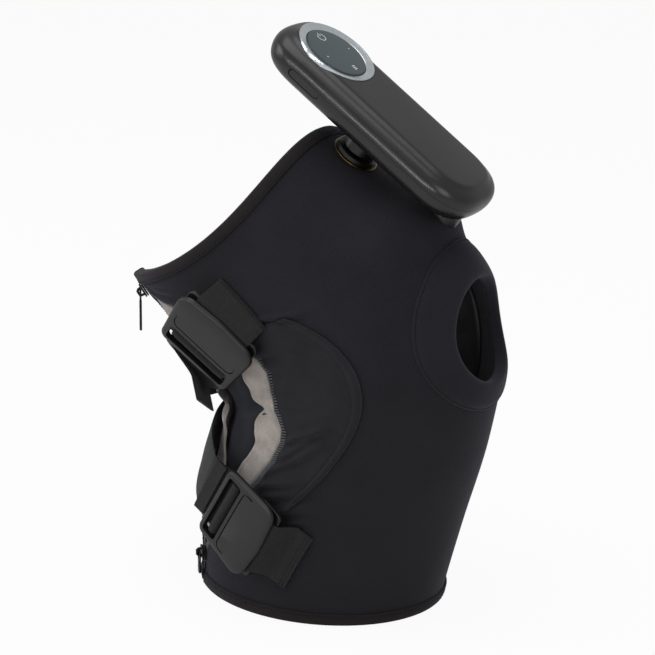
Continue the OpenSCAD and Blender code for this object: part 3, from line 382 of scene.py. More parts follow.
def perforated(name, dark, light, pitch=1.05):
    """A thin stretch cloth with rows of small holes, which are painted dark as shade inside them."""
    n = Nodes(name)
    x, y, _ = n.split(n.cut())
    place = n.place()
    wobble = n.times(n.math("SUBTRACT", n.noise(place, 420, 2), 0.5), 0.9)
    x, y = n.plus(x, wobble), n.math("SUBTRACT", y, wobble)
    rising, falling = (n.ridges(n.math(way, x, y), pitch * 1.4) for way in ("ADD", "SUBTRACT"))
    dots = n.ramp(n.times(rising, falling), 0.5, 0.86)
    base = n.mix(n.ramp(n.noise(place, 60, 3), 0.3, 0.7), dark, light)
    lift = n.math("SUBTRACT", n.times(n.noise(place, 2400, 2), 0.3), dots)
    # painted shade: the holes are mixed halfway towards near black, as shade inside them
    n.set(Base_Color=n.mix(n.times(dots, 0.5), base, rgb(8, 8, 10)), Roughness=0.78,
          Normal=n.bump(lift, 0.16), Sheen_Weight=0.12, Sheen_Roughness=0.4, Specular_IOR_Level=0.3)
    return n.owner


def webbing_material(name, dark, light):
    """Flat nylon webbing: lengthwise ribs crossed by a fine weft, with painted shade in the grooves between them."""
    n = Nodes(name)
    x, y, _ = n.split(n.cut())
    place = n.place()
    rib = 1.15
    shift = n.times(n.math("ROUND", n.math("DIVIDE", x, rib)), 0.5)
    height = n.both(n.ridges(x, rib), 0.75, n.ridges(n.plus(y, shift), 1.0), 0.45)
    # the colour follows the ribs' height: painted shade darkens the grooves and painted light lifts the rib tops,
    # mixed with a random tone
    share = n.both(height, 0.5, n.ramp(n.noise(place, 380, 3), 0.4, 0.75), 0.5)
    total = n.plus(height, n.times(n.noise(place, 3200, 2), 0.4))
    n.set(Base_Color=n.mix(share, dark, light), Roughness=0.72, Normal=n.bump(total, 0.16),
          Sheen_Weight=0.1, Sheen_Roughness=0.4, Specular_IOR_Level=0.35)
    return n.owner


def fleece_material(name, dark, light):
    """Brushed fleece: a short pile that lies in patches."""
    n = Nodes(name)
    place = n.place()
    pile, patches = n.noise(place, 1500, 5, 0.7), n.noise(place, 160, 3)
    share = n.both(n.ramp(pile, 0.35, 0.68), 0.6, n.ramp(patches, 0.35, 0.65), 0.4)
    total = n.plus(pile, n.times(patches, 0.8))
    n.set(Base_Color=n.mix(share, dark, light), Roughness=0.95, Normal=n.bump(total, 0.5),
          Sheen_Weight=0.35, Sheen_Roughness=0.5, Specular_IOR_Level=0.1)
    return n.owner


def plastic(name, colour, roughness, grain=0.04, pitch=1.2, wear=None):
    """Moulded plastic with a fine eroded grain and slightly uneven gloss."""
    n = Nodes(name)
    place = n.place()
    share = n.times(n.ramp(n.noise(place, 260, 4), 0.5, 0.8), 0.5)
    n.set(Base_Color=n.mix(share, colour, wear or toned(colour, 1.25)),
          Roughness=n.uneven(roughness, n.noise(place, 45, 3), 0.16),
          Normal=n.bump(n.noise(place, 1000 / pitch, 3, 0.6), grain))
    return n.owner


def metal(name, colour, roughness):
    """Metal with fine brushing along the piece's z."""
    n = Nodes(name)
    lines = n.noise(n.scaled(n.place(), (900, 900, 25)), 1.0, 3)
    n.set(Base_Color=n.mix(n.ramp(lines, 0.35, 0.7), colour, toned(colour, 0.75)), Metallic=1.0,
          Roughness=n.uneven(roughness, lines, 0.25), Normal=n.bump(lines, 0.02))
    return n.owner


def turned_metal(name, colour, roughness):
    """Metal turned on a lathe: its fine grooves run round the part, by the map that the lathe leaves."""
    n = Nodes(name)
    uv = n.cut()
    lines = n.noise(n.scaled(uv, (0.02, 7.0, 1.0)), 1.0, 3)
    rays = n.noise(n.scaled(uv, (0.9, 0.02, 1.0)), 1.0, 2)
    share = n.both(n.ramp(lines, 0.35, 0.7), 0.4, n.ramp(rays, 0.35, 0.65), 0.5)
    n.set(Base_Color=n.mix(share, colour, toned(colour, 0.6)), Metallic=1.0,
          Roughness=n.uneven(roughness, lines, 0.2), Normal=n.bump(lines, 0.03))
    return n.owner


MATERIALS = {
    # the brown given to the shell and the pad is painted warm light on their lower fronts
    "shell": knit("shell_jersey", rgb(20, 19, 25), rgb(31, 30, 37), painted_warm_light=rgb(26, 24, 24)),
    "pad": knit("pad_jersey", rgb(22, 21, 27), rgb(32, 31, 38), painted_warm_light=rgb(27, 26, 26)),
    "gusset": perforated("gusset_mesh", rgb(14, 13, 18), rgb(26, 25, 31)),
    "binding": knit("binding_tape", rgb(24, 19, 20), rgb(38, 31, 32), pitch=0.7, grain=0.16),
    "lining": knit("lining_jersey", rgb(19, 19, 20), rgb(27, 27, 28), pitch=1.1),
    "insert": knit("insert_jersey", rgb(26, 27, 33), rgb(38, 39, 47), pitch=0.8, sheen=0.15),
    "fleece": fleece_material("guard_fleece", rgb(154, 145, 138), rgb(200, 190, 183)),
    "tape": knit("zip_tape_weave", rgb(10, 10, 12), rgb(18, 18, 20), pitch=0.6),
    "coil": plastic("zip_coil_nylon", rgb(84, 86, 90), 0.32, grain=0.01),
    "thread": knit("sewing_thread", rgb(14, 14, 17), rgb(24, 24, 29), pitch=0.4),
    "zip_metal": metal("zip_metal", rgb(46, 44, 42), 0.3),
    "webbing": webbing_material("strap_webbing", rgb(10, 10, 11), rgb(24, 24, 25)),
    "clip": plastic("clip_plastic", rgb(15, 15, 15), 0.42, grain=0.02, wear=rgb(21, 21, 20)),
    "receiver": plastic("receiver_plastic", rgb(13, 13, 13), 0.42, grain=0.02),
    "film": plastic("heater_film_foil", rgb(52, 50, 52), 0.5, grain=0.02),
    "ribbon": plastic("ribbon_film", rgb(176, 112, 52), 0.4, grain=0.02),
    "cutout": plastic("cutout_ceramic", rgb(214, 212, 204), 0.5, grain=0.02),
    "gel": plastic("gel_pack_film", rgb(24, 25, 27), 0.5, grain=0.08, pitch=2.5),
    "snap": plastic("snap_plastic", rgb(18, 18, 17), 0.3, grain=0.01),
    "brass": metal("snap_brass", rgb(104, 86, 50), 0.3),
    "steel": metal("washer_steel", rgb(170, 171, 175), 0.34),
    "case": plastic("pod_case", rgb(24, 24, 23), 0.27, grain=0.02, pitch=0.9, wear=rgb(31, 30, 28)),
    "bezel": turned_metal("bezel_metal", rgb(228, 236, 241), 0.2),
    "glass": plastic("control_gloss", rgb(62, 74, 78), 0.07, grain=0.0, wear=rgb(68, 80, 84)),
    "mark": plastic("control_marks", rgb(206, 212, 214), 0.4, grain=0.0),
    "rubber": plastic("soft_rubber", rgb(26, 26, 25), 0.62, grain=0.02),
    "board": plastic("board_laminate", rgb(22, 84, 48), 0.42, grain=0.02),
    "led": plastic("led_lens", rgb(226, 236, 240), 0.2, grain=0.0),
    "cell": plastic("cell_wrap", rgb(60, 92, 146), 0.35, grain=0.01),
    "cradle": plastic("cradle_plastic", rgb(62, 62, 65), 0.5, grain=0.03),
}


# ---------------------------------------------------------------- making pieces

def put(name, data):
    """An object of a mesh, a lamp or a camera, in the scene."""
    thing = bpy.data.objects.new(name, data)
    bpy.context.scene.collection.objects.link(thing)
    return thing


def make(name, points, faces, material, body=SLEEVE, cut=None, sharp=40, nodes=(), slot=None):
    """A mesh piece from points in millimetres. cut gives each point's place on the flat cut."""
    mesh = bpy.data.meshes.new(name)
    mesh.from_pydata((np.asarray(points, float).reshape(-1, 3) * MM).tolist(), [], [list(f) for f in faces])
    piece = put(name, mesh)
    mesh.materials.append(MATERIALS[material])
    layer = mesh.uv_layers.new(name="cut")
    if cut is None:
        cut = np.zeros((len(mesh.vertices), 2))
    index = np.zeros(len(mesh.loops), np.int32)
    mesh.loops.foreach_get("vertex_index", index)
    layer.data.foreach_set("uv", np.asarray(cut, float).reshape(-1, 2)[index].ravel())
    face_up(mesh)
    mesh.shade_smooth()
    mesh.set_sharp_from_angle(angle=math.radians(sharp))
    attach(piece, body)
    if nodes:
        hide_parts(*nodes)
    return piece


def face_up(mesh):
    """Turns the faces of closed parts outwards."""
    b = bmesh.new()
    b.from_mesh(mesh)
    bmesh.ops.recalc_face_normals(b, faces=b.faces)
    b.to_mesh(mesh)
    b.free()


def grid_faces(rows, columns, first=0, loop=False, keep=None):
    """The quads of a grid of points."""
    i, j = np.meshgrid(np.arange(rows - 1), np.arange(columns if loop else columns - 1), indexing="ij")
    after = (j + 1) % columns
    low, high = i * columns + first, (i + 1) * columns + first
    quads = np.stack([low + j, low + after, high + after, high + j], axis=-1)
    return quads[keep] if keep is not None else quads.reshape(-1, 4)


def solid_faces(rows, n):
    """The faces of a solid through rows of n points, with its two flat ends."""
    return grid_faces(rows, n, 0, True).tolist() + [list(range(n)), list(range((rows - 1) * n, rows * n))[::-1]]


def wheel_faces(rows, n):
    """The faces of a closed section of so many points, carried round n places."""
    last = (rows - 1) * n
    return grid_faces(rows, n, 0, True).tolist() + [[j, (j + 1) % n, last + (j + 1) % n, last + j] for j in range(n)]


def closed_sheet(name, outer, inner, material, cut, loop=False, keep=None, **more):
    """A closed sheet between two grids of points; keep says which of the grid's cells are there."""
    rows, columns = outer.shape[:2]
    top = grid_faces(rows, columns, 0, loop, keep)
    low = grid_faces(rows, columns, rows * columns, loop, keep)[:, ::-1]
    edges = np.concatenate([top[:, [0, 1]], top[:, [1, 2]], top[:, [2, 3]], top[:, [3, 0]]])
    _, first, uses = np.unique(np.sort(edges, axis=1), axis=0, return_index=True, return_counts=True)
    rim = edges[first[uses == 1]]
    shift = rows * columns
    sides = np.stack([rim[:, 1], rim[:, 0], rim[:, 0] + shift, rim[:, 1] + shift], axis=-1)
    faces = np.concatenate([top, low, sides])
    used, faces = np.unique(faces, return_inverse=True)
    points = np.concatenate([outer.reshape(-1, 3), inner.reshape(-1, 3)])[used]
    flat = np.concatenate([cut.reshape(-1, 2)] * 2)[used]
    return make(name, points, faces.reshape(-1, 4), material, cut=flat, **more)


def patch(name, k0, k1, lo, hi, nk, na, r_out, r_in, material, surface=cloth, lift=None, **more):
    """A sheet on the sleeve between two shares and two edges, which are functions of the share."""
    k, s = grid(k0, k1, nk, na)
    a = lo(k) + (hi(k) - lo(k)) * s
    extra = lift(k, a) if lift else 0.0
    outer, inner = surface(k, a, r_out + extra), surface(k, a, r_in + extra)
    return closed_sheet(name, outer, inner, material, on_flat(k, a), **more)


def capsules(name, starts, ends, ups, radius, flat, material, sides=6, **more):
    """One small rounded bar from each start to each end, flattened along its up."""
    starts, ends, ups = (np.asarray(v, float) for v in (starts, ends, ups))
    axis = unit(ends - starts)
    side = unit(np.cross(axis, ups))
    up = np.cross(side, axis)
    long = np.linalg.norm(ends - starts, axis=-1)
    rings = [(-1.0, 0.0), (-0.94, 0.62), (-0.7, 1.0), (0.7, 1.0), (0.94, 0.62), (1.0, 0.0)]
    points, faces = [], []
    turn = np.linspace(0, 2 * math.pi, sides, endpoint=False)
    middle = (starts + ends) / 2
    for at, size in rings:
        centre = middle + axis * (at * long / 2)[:, None]
        wide = radius * size
        ring = [centre + wide * (math.cos(t) * side + flat * math.sin(t) * up) for t in turn]
        points.append(np.stack(ring if size else [centre], axis=1))
    points = np.concatenate(points, axis=1)
    each = points.shape[1]
    tip0, tip1 = 0, each - 1
    for j in range(sides):
        after = (j + 1) % sides
        faces.append([tip0, 1 + after, 1 + j])
        for ring in range(3):
            base = 1 + ring * sides
            faces.append([base + j, base + after, base + sides + after, base + sides + j])
        faces.append([1 + 3 * sides + j, 1 + 3 * sides + after, tip1])
    every = [[f + i * each for f in face] for i in range(len(points)) for face in faces]
    return make(name, points.reshape(-1, 3), every, material, sharp=60, **more)


def stitches(name, lines, pitch=2.6, long=1.9, thick=0.28, material="thread", **more):
    """Rows of stitches: lines is a list of (points, outward directions) in millimetres."""
    starts, ends, ups = [], [], []
    for line, out in lines:
        far = distances(line)
        at = np.arange(pitch / 2, far[-1], pitch)
        on = lambda points, there: np.stack([np.interp(there, far, points[:, i]) for i in range(3)], axis=1)
        centre, tangent = on(line, at), unit(on(line, at + 0.3) - on(line, at - 0.3))
        starts.append(centre - tangent * long / 2)
        ends.append(centre + tangent * long / 2)
        ups.append(unit(on(out, at)))
    starts, ends, ups = (np.concatenate(v) for v in (starts, ends, ups))
    return capsules(name, starts, ends, ups, thick, 0.7, material, **more)


def on_cloth(k, a, r):
    """A line on the folded cloth and its outward directions, for stitches."""
    return cloth(k, a, r), outward(np.asarray(k, float), np.asarray(a, float))


# ---------------------------------------------------------------- the sleeve's panels

def shell(name, r_out, r_in, hole_grow, back, nk, na, material, **more):
    """The whole sleeve in one sheet, round from one zip edge to the other, with the kneecap hole."""
    k, s = grid(HEM_K, 1 - HEM_K, nk, na)
    lo, hi = left_edge(k) - 360 + back, right_edge(k) - back
    a = lo + (hi - lo) * s
    dk = (k - HOLE_K) / (HOLE_HALF + hole_grow / LENGTH)
    da = a / (HOLE_A + HOLE_FAR * (a < 0) + hole_grow / MM_PER_DEGREE)
    far = np.hypot(dk, da)
    inside = far < 1
    cell = inside[:-1, :-1] & inside[1:, :-1] & inside[:-1, 1:] & inside[1:, 1:]
    push = np.where(inside, 1 / np.maximum(far, 0.05), 1)
    k, a = HOLE_K + (k - HOLE_K) * push, a * push
    return closed_sheet(name, cloth(k, a, r_out), cloth(k, a, r_in), material, on_flat(k, a), keep=~cell, **more)


outer_shell = shell("outer_shell", 0, -FABRIC_T, 1.5, 0, 200, 250, "shell", slot="shell_fabric",
                    nodes=("front_panel", "right_side_panel", "left_side_panel"))
sleeve_lining = shell("sleeve_lining", LINING_OUT, LINING_IN, 2.0, 9, 110, 140, "lining", slot="lining",
                      nodes=("front_lining", "right_lining", "left_lining"))


def ring_on_sleeve(f, t, grow=0.0):
    """Share and angle on the pad: f is 0 at the hole and 1 at the pad's outer edge, t turns round it."""
    hole = np.stack([HOLE_K + (HOLE_HALF - grow / LENGTH) * np.cos(t),
                     (HOLE_A + HOLE_FAR * (np.sin(t) < 0) - grow / MM_PER_DEGREE) * np.sin(t)])
    edge = np.stack([PAD_K + PAD_HALF * np.cos(t), PAD_A * np.sin(t)])
    return hole + (edge - hole) * f


# The pad's section, from under the lining, through the hole, over the rolled rim to the outer edge: share
# from the hole to the outer edge, and height
PAD_SECTION = np.array([
    [0.10, -4.6], [0.04, -4.8], [0.005, -4.6], [-0.01, -3.9], [-0.012, -2.4], [-0.012, -1.2], [-0.005, -0.1],
    [0.01, 0.75], [0.04, 1.5], [0.085, 2.1], [0.15, 2.6], [0.25, 2.9], [0.4, 3.05], [0.55, 3.0], [0.68, 2.9],
    [0.78, 2.65], [0.86, 2.2], [0.915, 1.55], [0.935, 1.1], [0.95, 1.3], [0.975, 1.25], [0.995, 0.85],
    [1.0, 0.3], [0.99, 0.1]])


def kneecap_pad():
    nt = 220
    profile = through(PAD_SECTION, 4, held=True)
    f = profile[:, :1] * np.ones(nt)
    turn = np.ones((len(profile), 1)) * np.linspace(0, 2 * math.pi, nt, endpoint=False)
    k, a = ring_on_sleeve(f, turn)
    sag = 0.12 * np.sin(turn * 3 + 1) * np.sin(f * 3)
    pad = make("kneecap_pad", cloth(k, a, profile[:, 1:] + sag), wheel_faces(len(profile), nt), "pad",
               cut=on_flat(k, a), sharp=80, nodes=("patella_pad",), slot="pad_fabric")
    k, a = ring_on_sleeve(0.936, np.linspace(0, 2 * math.pi, 400))
    stitches("pad_stitching", [on_cloth(k, a, 1.25)], pitch=2.4, long=1.5, thick=0.3, slot="pad_fabric")


kneecap_pad()


# ---------------------------------------------------------------- gussets

def hemmed(k, a, lo, hi, fold=5.0):
    """A folded hem along a patch's edges, in millimetres of height."""
    off = np.minimum(a - lo, hi - a) * MM_PER_DEGREE
    seams = 0.35 * bell((off - 1.3) / 0.6), 0.35 * bell((off - fold + 0.4) / 0.6)
    return 0.55 * smooth((fold - off) / 1.2) - seams[0] - seams[1]


def gussets():
    low, high = GUSSET_K[0], GUSSET_K[2]
    near_back = lambda k: right_edge(k) + degrees_of(0.8, k, 100)
    far_front = lambda k: 360 - gusset_edge(k)
    for name, node, front, back, hem_back in (
            ("near_gusset", "right_knee_gusset", gusset_edge, near_back, lambda k: 400),
            ("far_gusset", "left_knee_gusset", gusset_back_edge, far_front, far_front)):
        patch(name, low, high, front, back, 150, 60, 0.95, 0.25, "gusset", slot="mesh_fabric", nodes=(node,),
              lift=lambda k, a: hemmed(k, a, front(k), hem_back(k)))
    k = np.linspace(low + 0.01, high - 0.01, 300)
    lines = []
    for width in (1.3, 4.6):
        aside = degrees_of(width, k, 70)
        lines.append(on_cloth(k, gusset_edge(k) + aside, 1.2))
        lines.append(on_cloth(k, 360 - gusset_edge(k) - aside, 1.2))
    lines.append(on_cloth(k, gusset_back_edge(k) + degrees_of(1.3, k, 250), 1.2))
    stitches("gusset_stitching", lines, pitch=2.2, long=1.5, thick=0.25, slot="mesh_fabric")


gussets()


# ---------------------------------------------------------------- hems

def hem(name, k_edge, way, node):
    """The folded tape round a hem, with its stitching."""
    width, seam, inside = 7.2, 1.45, LINING_IN - 1.5
    section_points = np.array([
        [width, 0.35], [width, 1.0], [width - 0.7, 1.35], [width - 1.5, 1.15], [width - 2.3, 1.4], [3.5, 1.55],
        [1.2, 1.5], [0.35, 1.0], [0.0, 0.0], [0.0, -2.0], [0.0, -3.6], [0.35, inside + 0.4], [1.2, inside],
        [4.0, inside], [width - 1.2, inside + 0.1], [width, inside + 0.3], [width, inside + 0.9],
        [4.0, inside + 0.8], [0.9, LINING_IN - 0.2], [0.9, -1.5], [0.9, 0.3], [4.0, 0.35]])
    turn = 360 - left_edge(k_edge) + right_edge(k_edge)
    first = left_edge(k_edge) + 0.8 - 360
    na = 260
    a = first + (turn - 1.6) * np.linspace(0, 1, na)[:, None]
    step = shares_of(1.0, 0.02 if way > 0 else 0.98, a)
    k = k_edge + way * step * section_points[None, :, 0]
    ripple = 0.12 * np.sin(a * 1.9 + 0.7 * np.sin(a * 0.31)) * (section_points[None, :, 0] > 1)
    points = cloth(k, a * np.ones(k.shape), section_points[None, :, 1] + ripple)
    cut = np.stack([a * MM_PER_DEGREE + 0 * k, distances(section_points) + 0 * k], axis=-1)
    make(name, points, solid_faces(na, len(section_points)), "binding", cut=cut, sharp=70, nodes=(node,),
         slot="binding")
    return on_cloth(k_edge + way * step[:, 0] * (width - 1.5), a[:, 0], seam)


hem_seams = [hem("thigh_hem", 1, -1, "thigh_binding"), hem("calf_hem", 0, 1, "calf_binding")]
stitches("hem_stitching", hem_seams, pitch=2.6, long=1.8, thick=0.26, slot="binding")


# ---------------------------------------------------------------- behind the open zip

def crumple(k, a):
    """The insert's loose folds, inwards only."""
    x, y = a * MM_PER_DEGREE, k * LENGTH
    slow = np.sin(y / 13 + 1.1 * np.sin(x / 11)) * np.sin(x / 9 + 0.6 * np.sin(y / 17))
    quick = np.sin((x + 0.6 * y) / 5.2 + np.sin(y / 12)) * np.sin((y - 0.4 * x) / 7.5)
    pleat = bell((y - 128 + 0.25 * (x - 125)) / 5.0) * smooth((175 - x) / 40)
    return -1.2 - 1.4 * slow - 0.8 * quick + 2.6 * pleat


def half_gap(k):
    """Half the width between the zip's edges, in millimetres."""
    return (left_edge(k) - right_edge(k)) * np.linalg.norm(around(k, 135.0 + 0 * k), axis=-1) / 2


def insert_and_guards():
    under = 8
    near = lambda k: right_edge(k) - degrees_of(under, k, 100)
    far = lambda k: left_edge(k) + degrees_of(under, k, 170)
    insert = patch("back_insert", 0.05, 0.945, near, far, 170, 90, -4.85, -6.05, "insert", lift=crumple,
                   surface=skin, slot="insert_fabric", nodes=("popliteal_insert",))

    def reach(k):
        return np.minimum(26 - 12 * bell((k - 0.475) / 0.02), half_gap(k) - 1.5)

    def wave(k, s):
        y = k * LENGTH
        lift = 0.5 * np.sin(y / 6.5 + 1.7 * np.sin(y / 21)) + 0.35 * np.sin(y / 3.4)
        fold = 1.8 * bell((k - 0.45) / 0.014) - 1.3 * bell((k - 0.41) / 0.03)
        return s * lift - fold * smooth(s * 1.5) + 1.2 * smooth(s * 4 - 0.8)

    def strip(name, side, node):
        k, s = grid(0.12, 0.9, 190, 34)
        width = reach(k) * (1 + 0.05 * np.sin(k * 47))
        if side > 0:
            start, end = right_edge(k) - degrees_of(3, k, 100), right_edge(k) + degrees_of(width, k, 110)
        else:
            start, end = left_edge(k) + degrees_of(3, k, 170), left_edge(k) - degrees_of(width * 1.25, k, 165)
        a = start + (end - start) * s
        lift = wave(k, s + 0 * k)
        if side < 0:
            lift = lift + 3.5 * smooth(s * 2 - 0.8) * bell((k - 0.46) / 0.07)
        thick = 1.0 + 0.25 * bell((s - 0.95) / 0.06) - 0.35 * bell((s - 0.87) / 0.02)
        out, low = cloth(k, a, -3.35 + lift + (thick - 1)), cloth(k, a, -4.45 + lift)
        piece = closed_sheet(name, out, low, "fleece", on_flat(k, a), slot="fleece", nodes=(node,), sharp=70)
        mid = int(round(0.87 * 33))
        return out[:, mid], outward(k[:, mid], a[:, mid])

    lines = [strip("near_fleece", 1, "right_zip_guard"), strip("far_fleece", -1, "left_zip_guard")]
    stitches("fleece_stitching", lines, pitch=2.4, long=1.7, thick=0.22, slot="fleece", material="fleece")


insert_and_guards()


# ---------------------------------------------------------------- zip

TAPE_R, TAPE_T = -2.45, 0.6


def zip_side(side, edge, back_at):
    """One tape with its coil; gives the line of the stitches that hold it."""
    name = "near" if side > 0 else "far"
    node = "right" if side > 0 else "left"

    reach = lambda k: np.minimum(5.0, half_gap(k) - 0.12)
    k, s = grid(HEM_K, 1 - HEM_K, 260, 8)
    start = edge(k) - side * degrees_of(5.5, k, back_at)
    end = edge(k) + side * degrees_of(reach(k), k, 130)
    a = start + (end - start) * s
    rise = 1.25 * smooth(side * (a - edge(k)) * MM_PER_DEGREE / 1.5)
    outer, inner = cloth(k, a, TAPE_R + rise), cloth(k, a, TAPE_R - TAPE_T + rise)
    tape = closed_sheet(name + "_zip_tape", outer, inner, "tape", on_flat(k, a), slot="zip_tape",
                        nodes=(node + "_zip_tape",))
    k = np.linspace(0.015, 0.985, 2600)
    line = cloth(k, edge(k), 0.0)
    far = distances(line)
    at = np.interp(np.arange(1.0, far[-1], 1.7), far, k)
    if side < 0:
        at = at + 0.003
    far_end = reach(at) + 0.1
    near_end = np.maximum(far_end - 4.2, 0.15)
    starts = cloth(at, edge(at) + side * degrees_of(near_end, at, 130), TAPE_R + 1.65)
    ends = cloth(at + 0.0012, edge(at) + side * degrees_of(far_end, at, 130), TAPE_R + 1.75)
    capsules(name + "_zip_coil", starts, ends, outward(at, edge(at)), 0.5, 1.1, "coil", sides=8,
             slot="zip_teeth", nodes=(node + "_zip_teeth",))
    return on_cloth(k, edge(k) - side * degrees_of(2.2, k, back_at), 0.05)


zip_seams = [zip_side(1, right_edge, 100), zip_side(-1, left_edge, 170)]
stitches("zip_stitching", zip_seams, pitch=2.5, long=1.7, thick=0.24, slot="shell_fabric")


# ---------------------------------------------------------------- frames on the sleeve

def skin_frame(k, a, r, turn=0.0):
    """x towards the kneecap, y up the leg, z outwards and the origin, in millimetres."""
    k, a = np.float64(k), np.float64(a)
    z = outward(k, a)
    up = along(k, a)
    y0 = unit(up - (up @ z) * z)
    x0 = np.cross(y0, z)
    x = math.cos(math.radians(turn)) * x0 + math.sin(math.radians(turn)) * y0
    return np.array([x, np.cross(z, x), z, skin(k, a) + r * z])


def place(f, points):
    """Points of a frame as points of the row's frame."""
    points = np.asarray(points, float)
    return points[..., :1] * f[0] + points[..., 1:2] * f[1] + points[..., 2:3] * f[2] + f[3]


def tilted(f, angle):
    """A frame turned about its own x."""
    cos, sin = math.cos(math.radians(angle)), math.sin(math.radians(angle))
    return np.array([f[0], cos * f[1] + sin * f[2], cos * f[2] - sin * f[1], f[3]])


LOWER_SLOPE, UPPER_TILT = -18.0, 8.0
CLIP_AT = {"upper": (0.74, 112.5), "lower": (0.195, 107.0)}
CLIP_FRAME = {"upper": tilted(skin_frame(*CLIP_AT["upper"], 10.5), UPPER_TILT),
              "lower": skin_frame(*CLIP_AT["lower"], 9.0, LOWER_SLOPE)}


def plate(splines, z0, z1, bevel):
    """A flat plate with rounded edges: splines are closed outlines and holes, in millimetres."""
    data = bpy.data.curves.new("plate", "CURVE")
    data.dimensions = "2D"
    data.fill_mode = "BOTH"
    data.extrude = (z1 - z0) / 2 - bevel
    data.bevel_depth = bevel
    data.bevel_resolution = 3
    for points in splines:
        spline = data.splines.new("POLY")
        spline.points.add(len(points) - 1)
        for p, (x, y) in zip(spline.points, points):
            p.co = (x, y, 0, 1)
        spline.use_cyclic_u = True
    shape = bpy.data.objects.new("plate", data)
    mesh = bpy.data.meshes.new_from_object(shape)
    points = np.array([v.co for v in mesh.vertices]) + [0, 0, (z0 + z1) / 2]
    faces = [list(p.vertices) for p in mesh.polygons]
    bpy.data.objects.remove(shape)
    bpy.data.meshes.remove(mesh)
    bpy.data.curves.remove(data)
    return points, faces


def rounded(x0, x1, y0, y1, radius, steps=8):
    """A rounded rectangle's outline, anticlockwise."""
    points = []
    for cx, cy, start in ((x1 - radius, y1 - radius, 0), (x0 + radius, y1 - radius, 90),
                          (x0 + radius, y0 + radius, 180), (x1 - radius, y0 + radius, 270)):
        for i in range(steps + 1):
            t = math.radians(start + 90 * i / steps)
            points.append((cx + radius * math.cos(t), cy + radius * math.sin(t)))
    return points


def together(parts):
    """Several (points, faces) as one."""
    points, faces, first = [], [], 0
    for p, f in parts:
        points.append(np.asarray(p, float))
        faces += [[i + first for i in face] for face in f]
        first += len(p)
    return np.concatenate(points), faces


def lathe(profile, n=128, close=True):
    """A profile of (radius, height) turned about z."""
    profile = np.asarray(profile, float)
    t = np.radians(np.linspace(0.0, 360.0, n, endpoint=False))
    points = np.stack([profile[:, None, 0] * np.cos(t), profile[:, None, 0] * np.sin(t),
                       profile[:, None, 1] * np.ones(n)], axis=-1)
    rows = len(profile)
    faces = wheel_faces(rows, n) if close else grid_faces(rows, n, 0, True).tolist()
    far = distances(profile)
    cut = np.stack([np.degrees(t)[None, :] * np.ones((rows, 1)), far[:, None] * np.ones(n)], axis=-1)
    return points.reshape(-1, 3), faces, cut.reshape(-1, 2)


def rod(length, radius, n=40, bevel=0.3):
    """A bar along y about the origin."""
    h = length / 2
    points, faces, _ = lathe([(0.01, -h), (radius - bevel, -h), (radius, -h + bevel), (radius, h - bevel),
                              (radius - bevel, h), (0.01, h)], n, close=False)
    return points[:, [0, 2, 1]] * [1, 1, -1], faces


def cutter(points, faces):
    """A solid to cut with, from points in the row's frame."""
    mesh = bpy.data.meshes.new("cutter")
    mesh.from_pydata((np.asarray(points) * MM).tolist(), [], [list(f) for f in faces])
    face_up(mesh)
    return put("cutter", mesh)


def cut_from(piece, cutters):
    """Takes the cutters out of a piece and removes them."""
    for tool in cutters:
        modifier = piece.modifiers.new("cut", "BOOLEAN")
        modifier.operation = "DIFFERENCE"
        modifier.solver = "EXACT"
        modifier.object = tool
    evaluated = piece.evaluated_get(bpy.context.evaluated_depsgraph_get())
    mesh = bpy.data.meshes.new_from_object(evaluated)
    piece.modifiers.clear()
    old, piece.data = piece.data, mesh
    bpy.data.meshes.remove(old)
    for tool in cutters:
        data = tool.data
        bpy.data.objects.remove(tool)
        bpy.data.meshes.remove(data)
    mesh.set_sharp_from_angle(angle=math.radians(28))


def soften(piece, width, angle=40):
    """Rounds a piece's sharp edges."""
    modifier = piece.modifiers.new("rounded", "BEVEL")
    modifier.width = width * MM
    modifier.segments = 3
    modifier.limit_method = "ANGLE"
    modifier.angle_limit = math.radians(angle)
    modifier.harden_normals = False


# ---------------------------------------------------------------- clips and their receivers

CLIP_L, CLIP_END_L, CLIP_W, CLIP_BOW = 54.0, 50.0, 41.0, 1.5
BAR_X, BAR_Z, BAR_R = -11.5, -0.4, 2.0
WINDOW_X, WINDOW_L = (-17.1, -6.1), 42.0
SLIT_X, SLIT_L = -3.1, 43.0
HOOK_X, HOOK_L = 11.5, 39.0
RECEIVER_X, RECEIVER_Z, RECEIVER_L = (4.5, 21.5), (-4.0, -1.7), 49.0
WEB_W, WEB_T = 38.0, 1.4


def clip_outline(inset, z, n=240):
    """The plate's outline: narrower at the window's end, and bowed at the other."""
    turn = np.linspace(0, 2 * math.pi, 1440, endpoint=False)
    cos, sin = np.cos(turn), np.sin(turn)
    long = CLIP_L / 2 - 4
    reach = [x * cos + y * sin + r
             for x, y, r in ((CLIP_W / 2 - 9, CLIP_L / 2 - 9, 9), (CLIP_W / 2 - 9, 9 - CLIP_L / 2, 9),
                             (5 - CLIP_W / 2, CLIP_END_L / 2 - 5, 5), (5 - CLIP_W / 2, 5 - CLIP_END_L / 2, 5))]
    reach.append((CLIP_W / 2 + CLIP_BOW - long / 2) * cos + np.hypot(long / 2 * cos, long * sin))
    reach = np.max(reach, axis=0) - inset
    at = np.linspace(0, 2 * math.pi, n, endpoint=False)
    facing = np.cos(turn[:, None] - at)
    far = np.where(facing > 0.1, reach[:, None] / np.maximum(facing, 0.1), 1e3).min(axis=0)
    return np.stack([far * np.cos(at), far * np.sin(at), np.full(n, z)], axis=-1)


def slit_line(grow):
    """Half a rounded rectangle that opens away from the window."""
    end, half, r = SLIT_X + 6.5, SLIT_L / 2 + grow, 3 + grow
    x = SLIT_X - grow + r
    points = [(end, half)]
    points += [(x + r * math.cos(t), half - r + r * math.sin(t)) for t in np.linspace(math.pi / 2, math.pi, 9)]
    points += [(x + r * math.cos(t), r - half + r * math.sin(t)) for t in np.linspace(math.pi, 1.5 * math.pi, 9)]
    return points + [(end, -half)]


